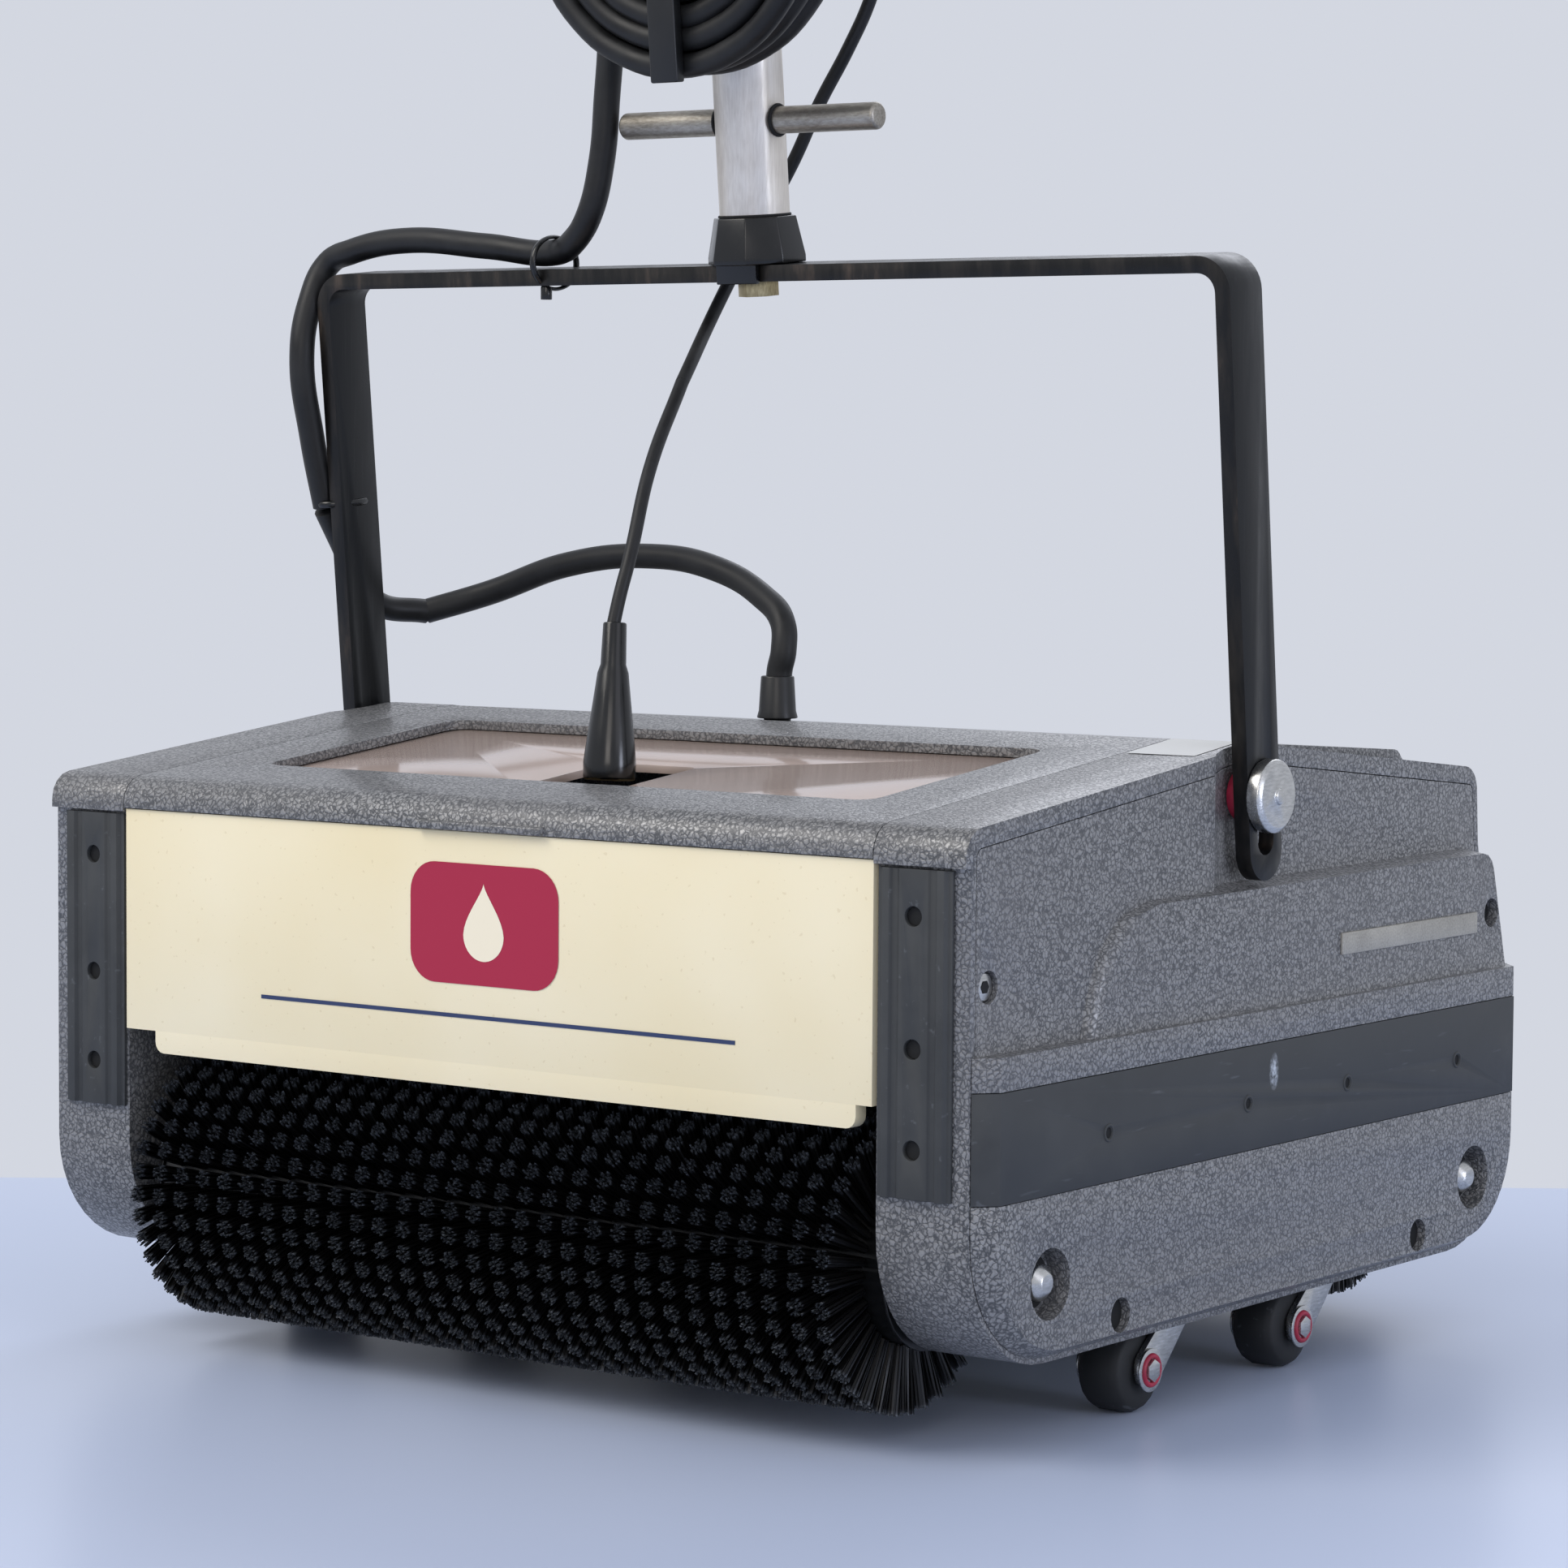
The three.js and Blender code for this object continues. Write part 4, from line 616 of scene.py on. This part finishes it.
def build_body_details():
    for side, sign in SIDES.items():
        for place, face in (("front", -1), ("rear", 1)):
            for number, z in enumerate(BUMPER_SCREWS[place]):
                # painted shade: a black disc inset in each bumper screw hole
                where = point(sign * BUMPER_X, face * BUMPER_FACE - face * 0.9, z)
                painted_hole_shade(f"{place}_{side}_bumper_screw_{number}", where, 3.1, 1.0, 24, "Y")
        x, y, z = COVER_SCREW
        cover_screw = point(sign * x, y, z)
        cylinder(f"{side}_cover_screw", cover_screw, 4.6, 2.0, "X", LOOKS["steel"], "chassis", 32, 0.4)
        # painted shade: a black six-sided disc in the screw head's socket
        painted_hole_shade(f"{side}_cover_screw_socket_shade", cover_screw + point(sign * 0.7, 0, 0), 2.3, 1.0, 6)
        for number, y in enumerate(STRIP_HOLES):
            hole = point(sign * STRIP_FACE, y, STRIP_MIDDLE)
            # painted shade: a black disc in each hole of the side strip
            painted_hole_shade(f"{side}_strip_hole_shade_{number}", hole, 1.85, 1.6, 16)
            lip = hole + point(sign * 1.1, 0, 0)
            torus(f"{side}_strip_lip_{number}", lip, 2.6, 0.55, FACING_SIDE, LOOKS["strip"], "chassis", 24, 8)
        for place, y in PLUG_HOLES.items():
            painted_hole_shade(f"{side}_{place}_plug_shadow", point(sign * PLUG_HOLE_X, y, PLUG_HOLE_Z), 5.9, 0.6, 24)
        x, y, z = HUMP_HOLE
        painted_hole_shade(f"{side}_hump_hole_shadow", point(sign * x, y, z), 5.4, 0.6, 24)
        for place, y in AXLES.items():
            # painted shade: a black disc on the side, round each brush axle's end
            painted_hole_shade(f"{place}_{side}_axle_end_shade", point(sign * AXLE_SHADE_X, y, AXLE_Z), 9.0, 0.8, 32)


def build_badge():
    """A plain crimson badge with a drop, a thin line under it, a raised blank bar and a paper label."""
    navy = material("navy_print", Base_Color="#27375f", Roughness=0.5)[0]
    print_red = material("crimson_print", Base_Color="#a8163c", Roughness=0.4)[0]
    print_cream = material("cream_print", Base_Color="#f4ead0", Roughness=0.4)[0]
    only()
    bpy.ops.mesh.primitive_plane_add(size=1, location=point(3, -187.25, 166.6), rotation=FACING_FRONT)
    badge = bpy.context.object
    badge.scale = (66 * MM, 42 * MM, 1)
    only(badge)
    bpy.ops.object.transform_apply(location=False, rotation=False, scale=True)
    edit(lambda: bpy.ops.mesh.bevel(offset=11 * MM, segments=8, affect="VERTICES"))
    settle(badge, "badge", print_red, "chassis")
    block("badge_line", point(-100, -187.2, 133.8), point(111, -187.02, 135.2), navy, "chassis", 0)
    drop_radius = 9 * MM
    only()
    bpy.ops.mesh.primitive_circle_add(
        vertices=48, radius=drop_radius, fill_type="NGON", location=point(3, -187.32, 163), rotation=FACING_FRONT,
    )
    drop = bpy.context.object
    only(drop)
    for vertex in drop.data.vertices:
        if vertex.co.y > 0:
            vertex.co.x *= 1 - (vertex.co.y / drop_radius) ** 1.6
            vertex.co.y *= 2.0
    settle(drop, "badge_drop", print_cream, "chassis")
    for side, sign in SIDES.items():
        low, high = sorted((sign * 206.6, sign * 208.0))
        block(f"{side}_name_bar", point(low, 48, 151), point(high, 151, 159), LOOKS["bare"], "chassis", 0.5)
    paper = material("label_paper", Base_Color="#c6c8c8", Roughness=0.6)[0]
    only()
    bpy.ops.mesh.primitive_plane_add(size=1, location=point(181.8, -21, 227.98), rotation=(math.atan(0.11), 0, 0.03))
    label = bpy.context.object
    label.scale = (27 * MM, 32 * MM, 1)
    settle(label, "paper_label", paper, "chassis")


# ---- Lid and window -----------------------------------------------------------------------
def build_lid():
    cast("lid_frame", LOOKS["hammered"], 0.9, 3)
    cast("window_pane", LOOKS["pane"], 0.2)
    cast("dosing_valve", LOOKS["satin"], 0.3)
    cast("cable_boot", LOOKS["gloss"], 0.6)
    cast("lead_gland", LOOKS["satin"], 0.6)


# ---- Brushes ------------------------------------------------------------------------------
def build_brush(place, y, brush):
    """Bristle tufts in straight rows round the core, each a flared bundle."""
    draw = random.Random(11 if place == "front" else 12)
    look = bristle(y)
    rows, columns, row_step = 2, 3, 10
    root_spread, tip_spread = 1.7, 3.2
    pitch = BRUSH_LENGTH / brush.tufts_along
    outer = brush.reach * 1000
    tufts = []
    for row in range(rows):
        for column in range(columns):
            parts = []
            for number in range(brush.bristles_per_tuft):
                angle = number * GOLDEN_ANGLE + draw.uniform(-0.3, 0.3)
                reach = math.sqrt((number + 0.5) / brush.bristles_per_tuft) + draw.uniform(-0.06, 0.06)
                lean_x, lean_y = reach * math.cos(angle), reach * math.sin(angle)
                root = Vector((lean_x * root_spread, lean_y * root_spread, CORE_SURFACE))
                tip = Vector((lean_x * tip_spread, lean_y * tip_spread, outer - draw.uniform(0.0, 0.9)))
                middle, along = (root + tip) / 2, tip - root
                bpy.ops.mesh.primitive_cone_add(
                    vertices=3, radius1=0.5 * MM, radius2=0.4 * MM, depth=along.length * MM, end_fill_type="NOTHING",
                    location=middle * MM, rotation=along.to_track_quat("Z", "Y").to_euler(),
                )
                parts.append(bpy.context.object)
            tuft = joined(parts, "tuft")
            tuft.location = (((column + 0.5) * pitch - BRUSH_LENGTH / 2) * MM, 0, 0)
            only(tuft)
            bpy.ops.object.transform_apply(location=True, rotation=False, scale=False)
            tuft.rotation_euler = (math.radians(row * row_step), 0, 0)
            only(tuft)
            bpy.ops.object.transform_apply(location=False, rotation=True, scale=False)
            tufts.append(tuft)
    tuft = joined(tufts, "tuft_rows")
    modify(
        tuft, "ARRAY", count=brush.tufts_along // columns, use_relative_offset=False, use_constant_offset=True,
        constant_offset_displace=(columns * pitch * MM, 0, 0),
    )
    only()
    bpy.ops.object.empty_add(location=(0, 0, 0), rotation=(math.radians(rows * row_step), 0, 0))
    turn = bpy.context.object
    around = 360 // (rows * row_step)
    modify(tuft, "ARRAY", count=around, use_relative_offset=False, use_object_offset=True, offset_object=turn)
    bpy.data.objects.remove(turn)
    only(tuft)
    edit(lambda: bpy.ops.transform.vertex_random(offset=0.3 * MM, seed=3))
    tuft.location = point(0, y, AXLE_Z)
    settle(tuft, f"{place}_bristle_tufts", look, f"{place}_brush")
    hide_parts(f"{place}_bristles")
    cast(f"{place}_brush_core", LOOKS["satin"], 0.3)
    cast(f"{place}_axle", LOOKS["steel"], 0.4)


# ---- Castors ------------------------------------------------------------------------------
def build_castors():
    for place, y in CASTORS.items():
        for side, sign in SIDES.items():
            name = f"{place}_{side}"
            cast(f"{name}_fork", LOOKS["steel"], 0.3)
            cast(f"{name}_wheel", LOOKS["wheel"], 0.8, 2, 40)
            for face in (-1, 1):
                where = point(sign * CASTOR_X + face * CASTOR_WASHER_OUT, y, WHEEL_RADIUS)
                facing = "outer" if face * sign > 0 else "inner"
                cylinder(f"{name}_washer_{facing}", where, 7.6, 0.8, "X", LOOKS["steel"], f"{name}_swivel", 32, 0.2)
                seal = where + point(face * 0.4, 0, 0)
                torus(f"{name}_seal_{facing}", seal, 5.0, 1.0, FACING_SIDE, LOOKS["red"], f"{name}_swivel", 32, 10)


# ---- Bail ---------------------------------------------------------------------------------
def build_bail():
    cast("bail", LOOKS["bail"], 0.5, 2, 30)
    for side in SIDES:
        cast(f"{side}_pivot_bolt", LOOKS["steel"], 0.4, 2)
        cast(f"{side}_bush", LOOKS["red"], 0.4)


# ---- Handle -------------------------------------------------------------------------------
def build_handle():
    cast("handle_collar", LOOKS["gloss"], 0.8, 3, 25)
    cast("collar_bolt", LOOKS["yellowed"], 0.4)
    cast("handle_tube", LOOKS["aluminium"], 0.3)
    cast("cross_bar", LOOKS["zinc"], 0.5)
    cast("lower_cable_hook", LOOKS["satin"], 0.8, 3)
    cast("upper_cable_hook", LOOKS["satin"], 0.8, 3)
    for side, sign in SIDES.items():
        # painted shade: a thin black ring where the cross bar meets the tube
        where = on_handle(sign * 12.9, 0, 240.5)
        torus(f"{side}_cross_bar_joint_shade", where, 5.5, 0.7, FACING_SIDE, LOOKS["dark"], "handle", 32, 8)
    foot = on_handle(0, 0, 206.2)
    torus("tube_foot_shadow", foot, 13.1, 0.5, (LEAN_ANGLE, 0, 0), LOOKS["dark"], "handle", 48, 8)


def build_head():
    cast("control_head", LOOKS["satin"], 1.2, 3)
    cast("dosing_lever", LOOKS["gloss"], 0.7)
    cast("power_switch", LOOKS["red"], 0.5)
    cast("mains_plug", LOOKS["satin"], 0.8)


# ---- Cords --------------------------------------------------------------------------------
def build_motor_lead():
    lower = [
        (-27, 25.5, 238), (-26.8, 25.5, 246), (-25.2, 25.9, 254), (-28.5, 29.5, 265), (-41, 34, 274), (-69, 40, 284.5),
        (-104, 44, 288.5), (-145, 44, 284.5), (-184, 40, 272), (-206, 28, 264.5),
    ]
    riser = [(-206, 28, 264.5), (-215, 8, 268), (-214, -6, 281), (-213.4, -16, 294), (-213.3, -24.6, 306)]
    first, path = bending_cord(
        "motor_lead_arch", [point(*p) for p in lower], LEAD_RADIUS, LOOKS["cable"],
    )
    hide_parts("motor_lead")
    second, path = bending_cord(
        "motor_lead_riser", [point(*p) for p in riser], LEAD_RADIUS, LOOKS["cable"],
    )
    climb = [
        (-213.3, -7.2, 96.9), (-213.3, -12.4, 124.3), (-213.3, -15.3, 156.7), (-213.3, -8, 178), (-210, 0, 192),
        (-198, 0, 196.5), (-169, 0, 200.4), (-128, -0.3, 197.4), (-94, -0.5, 194.5), (-82, -5, 198.5),
        (-72, -7.2, 208.2), (-66, -5.3, 228.1), (-63.5, -3, 252), (-62, -0.9, 273), (-61, -1, 310), (-58, -2.3, 380),
        (-52, -3.6, 491), (-44, -3.9, 642), (-36, -2.1, 772), (-33, 0.5, 861.6),
    ]
    third, path = riding_cord(
        "motor_lead_climb", [on_handle(*p) for p in climb], LEAD_RADIUS, LOOKS["cable"], "handle",
    )
    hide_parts("motor_lead_upper")


def build_dosing_cable():
    low = [(1.3, -114.4, 265.5), (1.2, -109.5, 279), (0.9, -104, 291), (-5.6, -84, 323), (-15.5, -52, 355)]
    high = [
        (-15.5, -52, 355), (-26, -12, 390), (-15, -8, 412), (0, -6, 436), (13, -6, 459), (25.5, -6, 478), (35, -6, 495),
        (45, -8, 520), (60, -14, 600), (62, -25, 700), (56, -45, 820), (44, -70, 930), (34, -84, 1010),
        (30, -84.5, 1069),
    ]
    first, path = bending_cord(
        "dosing_cable_low", [point(*p) for p in low], BOWDEN_RADIUS, LOOKS["cable"],
    )
    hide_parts("dosing_cable")
    second, path = bending_cord(
        "dosing_cable_high", [point(*p) for p in high], BOWDEN_RADIUS, LOOKS["cable"],
    )


def hank_points():
    """Twelve loose turns between the two hooks, laid in three layers of four."""
    draw = random.Random(5)
    layers = (-22.8, -31.8, -40.9)
    radii = (61.3, 52.6, 44.2, 36.2)
    low, high = 324.0, 564.0
    turns = [(r, v) for i, v in enumerate(layers) for r in (radii if i % 2 == 0 else radii[::-1])]
    half_circle = [math.pi * k / 8 for k in range(9)]
    between = [k / 6 for k in range(1, 6)]
    points = []
    for (radius, v), (next_radius, next_v) in zip(turns, turns[1:] + turns[-1:]):
        loose = draw.uniform(-1.2, 1.2)
        for a in half_circle:
            points.append((-radius * math.cos(a), v, high + (radius + loose) * math.sin(a)))
        for t in between:
            sag = math.sin(math.pi * t)
            points.append((radius + sag, v + 0.5 * loose * sag, high + (low - high) * t))
        for a in half_circle:
            points.append((radius * math.cos(a), v, low - (radius + loose) * math.sin(a)))
        for t in between:
            ease = t * t * (3 - 2 * t)
            r = radius + (next_radius - radius) * ease
            points.append((-r - math.sin(math.pi * t), v + (next_v - v) * ease, low + (high - low) * t))
    return points


def build_mains_cable(cords):
    lead = [
        (-20, -18, 861.6), (-20.5, -19, 840), (-22, -22, 800), (-30, -27, 720), (-42, -26, 672), (-53, -24, 640),
        (-60, -23, 610),
    ]
    tail = [
        (-36, -42, 560), (-28, -46.5, 590), (-4, -48.5, 602), (24, -47, 602), (52, -42, 598), (74, -36, 580),
        (85, -31, 548), (87, -30, 515), (87, -30, 490), (87, -30, 473.5),
    ]
    points = lead + hank_points()[3:] + tail
    obj, path = riding_cord(
        "mains_cable", [on_handle(*p) for p in points], cords.mains_diameter * 500, LOOKS["cable"], "handle", 5,
    )
    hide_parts("mains_lead", "mains_hank")


def build_ties():
    """Two cable ties, one on the left leg and one on the bail's top."""
    tie = LOOKS["gloss"]
    leg, top = on_handle(-210, 0, 98), on_handle(-94, -2, 190.5)
    torus("leg_tie_band", leg, 12, 0.9, (LEAN_ANGLE, 0, 0), tie, "handle", 40, 8, (0.72, 1.0, 1.6))
    across = (LEAN_ANGLE, math.pi / 2, 0)
    torus("bail_tie_band", top, 11.6, 0.9, across, tie, "handle", 40, 8, (0.85, 1.02, 1.6))
    cylinder("bail_tie_head", on_handle(-94, -8, 179.5), 2.2, 5, "Z", tie, "handle", 12, 0.3)


# ---- Stage --------------------------------------------------------------------------------
def build_stage(stage):
    azimuth, pitch, roll = (math.radians(a) for a in (36.03, 4.01, 0.40))
    eye = (1.0391, -1.4365, 0.3297)
    floor_ahead, floor_drop = -1.55, 0.0002
    aim = Vector((0, 0, 0.15))
    ahead = Vector((-math.sin(azimuth), math.cos(azimuth), 0))
    across = Vector((math.cos(azimuth), math.sin(azimuth), 0))
    forward = math.cos(pitch) * ahead - math.sin(pitch) * Vector((0, 0, 1))
    up = math.cos(pitch) * Vector((0, 0, 1)) + math.sin(pitch) * ahead
    right = math.cos(roll) * across + math.sin(roll) * up
    top = -math.sin(roll) * across + math.cos(roll) * up
    only()
    bpy.ops.object.camera_add()
    camera = bpy.context.object
    camera.matrix_world = Matrix((
        (right.x, top.x, -forward.x, eye[0]), (right.y, top.y, -forward.y, eye[1]),
        (right.z, top.z, -forward.z, eye[2]), (0, 0, 0, 1),
    ))
    camera.name = "photo_camera"
    camera.data.sensor_width = 36
    camera.data.lens = stage.lens
    camera.data.clip_start = 0.01
    bpy.context.scene.camera = camera
    bpy.context.scene.view_settings.view_transform = "Standard"

    made, tree, shader, coords = material("pale_floor", Roughness=0.3, Specular_IOR_Level=0.4)
    link(tree, shader, Base_Color=ramp(tree, noise(tree, coords, 500, 2.0), (0.3, "#b6c3de"), (0.7, "#bfcae2")))
    only()
    centre = ahead * floor_ahead + Vector((0, 0, -floor_drop))
    bpy.ops.mesh.primitive_plane_add(size=1, rotation=(0, 0, azimuth), location=centre)
    floor = bpy.context.object
    floor.scale = (7, 3.8, 1)
    settle(floor, "floor", made)

    world = bpy.data.worlds.new("studio")
    bpy.context.scene.world = world
    world.use_nodes = True
    background = world.node_tree.nodes["Background"]
    background.inputs["Color"].default_value = colour("#d8dce6")
    background.inputs["Strength"].default_value = stage.sky
    for name, where, size, power, tone in (
        ("key", (-1.2, -1.9, 2.3), 1.6, stage.key, "#fffaf2"),
        ("side", (2.6, -0.6, 1.7), 1.4, stage.key * 0.1, "#f6f3ff"),
        ("fill", (1.3, -2.5, 1.2), 1.0, stage.key * 0.22, "#fff6ee"),
        ("low side", (2.7, -0.1, 0.55), 0.7, stage.key * 0.3, "#e4ebff"),
        ("back", (-0.6, 2.2, 1.9), 1.6, stage.key * 0.4, "#f3f6ff"),
    ):
        bpy.ops.object.light_add(type="AREA", location=where)
        lamp = bpy.context.object
        lamp.name = name
        lamp.data.size = size
        lamp.data.energy = power
        lamp.data.color = colour(tone)[:3]
        lamp.rotation_euler = (aim - Vector(where)).to_track_quat("-Z", "Y").to_euler()


# ---- Add-on: settings, operators and panel ------------------------------------------------
class ScrubberLook(bpy.types.PropertyGroup):
    hammer_size: bpy.props.FloatProperty(
        name="Hammer size", description="Size of the enamel's cells in millimetres",
        default=1.9, min=0.5, max=8,
    )
    hammer_depth: bpy.props.FloatProperty(
        name="Hammer depth", description="How strongly the dimples catch the light",
        default=0.55, min=0, max=1, subtype="FACTOR",
    )


class ScrubberBrush(bpy.types.PropertyGroup):
    tufts_along: bpy.props.IntProperty(
        name="Tufts along", description="Number of tufts along the brush, in threes",
        default=30, min=6, max=48,
    )
    bristles_per_tuft: bpy.props.IntProperty(
        name="Bristles per tuft", description="Number of bristles drawn in each tuft",
        default=28, min=3, max=30,
    )
    reach: bpy.props.FloatProperty(
        name="Reach", description="Distance from the axle to the bristles' tips",
        default=0.0503, unit="LENGTH",
    )


class ScrubberCords(bpy.types.PropertyGroup):
    mains_diameter: bpy.props.FloatProperty(
        name="Mains diameter", description="Diameter of the mains cable's sheath",
        default=0.009, unit="LENGTH",
    )


class ScrubberStage(bpy.types.PropertyGroup):
    lens: bpy.props.FloatProperty(
        name="Lens", description="Focal length of the camera in millimetres",
        default=108.54, subtype="DISTANCE_CAMERA",
    )
    key: bpy.props.FloatProperty(
        name="Key light", description="Power of the main light",
        default=42, unit="POWER",
    )
    sky: bpy.props.FloatProperty(
        name="Sky", description="Strength of the pale surroundings",
        default=0.95, min=0,
    )


class SCRUBBER_OT_looks(bpy.types.Operator):
    """Makes the materials of every part"""
    bl_idname = "scrubber.looks"
    bl_label = "Make looks"

    def execute(self, context):
        LOOKS.update(make_looks(context.scene.scrubber_look))
        return {"FINISHED"}


class SCRUBBER_OT_body(bpy.types.Operator):
    """Finishes the side castings, covers, tank and inner machinery"""
    bl_idname = "scrubber.body"
    bl_label = "Body"

    def execute(self, context):
        build_body()
        build_body_details()
        return {"FINISHED"}


class SCRUBBER_OT_badge(bpy.types.Operator):
    """Adds the plain badge, line, bars and label"""
    bl_idname = "scrubber.badge"
    bl_label = "Badge"

    def execute(self, context):
        build_badge()
        return {"FINISHED"}


class SCRUBBER_OT_lid(bpy.types.Operator):
    """Finishes the lid, its pane and the dosing valve"""
    bl_idname = "scrubber.lid"
    bl_label = "Lid"

    def execute(self, context):
        build_lid()
        return {"FINISHED"}


class SCRUBBER_OT_brushes(bpy.types.Operator):
    """Builds both cylinder brushes tuft by tuft"""
    bl_idname = "scrubber.brushes"
    bl_label = "Brushes"

    def execute(self, context):
        for place, y in AXLES.items():
            build_brush(place, y, context.scene.scrubber_brush)
        return {"FINISHED"}


class SCRUBBER_OT_castors(bpy.types.Operator):
    """Finishes the four castors"""
    bl_idname = "scrubber.castors"
    bl_label = "Castors"

    def execute(self, context):
        build_castors()
        return {"FINISHED"}


class SCRUBBER_OT_bail(bpy.types.Operator):
    """Finishes the bail and its pivots"""
    bl_idname = "scrubber.bail"
    bl_label = "Bail"

    def execute(self, context):
        build_bail()
        return {"FINISHED"}


class SCRUBBER_OT_handle(bpy.types.Operator):
    """Finishes the handle, hooks and control head"""
    bl_idname = "scrubber.handle"
    bl_label = "Handle"

    def execute(self, context):
        build_handle()
        build_head()
        return {"FINISHED"}


class SCRUBBER_OT_cords(bpy.types.Operator):
    """Lays the motor lead, dosing cable and mains cable, with their ties"""
    bl_idname = "scrubber.cords"
    bl_label = "Cords"

    def execute(self, context):
        build_motor_lead()
        build_dosing_cable()
        build_mains_cable(context.scene.scrubber_cords)
        build_ties()
        return {"FINISHED"}


class SCRUBBER_OT_stage(bpy.types.Operator):
    """Sets up the camera, floor and lights"""
    bl_idname = "scrubber.stage"
    bl_label = "Stage"

    def execute(self, context):
        build_stage(context.scene.scrubber_stage)
        return {"FINISHED"}


class SCRUBBER_PT_panel(bpy.types.Panel):
    bl_label = "Floor scrubber"
    bl_idname = "SCRUBBER_PT_panel"
    bl_space_type = "VIEW_3D"
    bl_region_type = "UI"
    bl_category = "Scrubber"

    def draw(self, context):
        layout = self.layout
        for group in SETTINGS:
            settings = getattr(context.scene, group)
            for key in settings.__annotations__:
                layout.prop(settings, key)
        for operator in STEPS:
            layout.operator(operator.bl_idname)


SETTINGS = {
    "scrubber_look": ScrubberLook, "scrubber_brush": ScrubberBrush, "scrubber_cords": ScrubberCords,
    "scrubber_stage": ScrubberStage,
}
STEPS = (
    SCRUBBER_OT_looks, SCRUBBER_OT_stage, SCRUBBER_OT_body, SCRUBBER_OT_badge, SCRUBBER_OT_lid, SCRUBBER_OT_castors,
    SCRUBBER_OT_bail, SCRUBBER_OT_handle, SCRUBBER_OT_cords, SCRUBBER_OT_brushes,
)


def register():
    for group in SETTINGS.values():
        bpy.utils.register_class(group)
    for name, group in SETTINGS.items():
        setattr(bpy.types.Scene, name, bpy.props.PointerProperty(type=group))
    for step in STEPS:
        bpy.utils.register_class(step)
    bpy.utils.register_class(SCRUBBER_PT_panel)


def unregister():
    bpy.utils.unregister_class(SCRUBBER_PT_panel)
    for step in reversed(STEPS):
        bpy.utils.unregister_class(step)
    for name, group in SETTINGS.items():
        delattr(bpy.types.Scene, name)
        bpy.utils.unregister_class(group)


def main():
    register()
    bpy.ops.scrubber.looks()
    bpy.ops.scrubber.stage()
    bpy.ops.scrubber.body()
    bpy.ops.scrubber.badge()
    bpy.ops.scrubber.lid()
    bpy.ops.scrubber.castors()
    bpy.ops.scrubber.bail()
    bpy.ops.scrubber.handle()
    bpy.ops.scrubber.cords()
    bpy.ops.scrubber.brushes()
    bpy.context.view_layer.update()


if __name__ == "__main__":
    main()
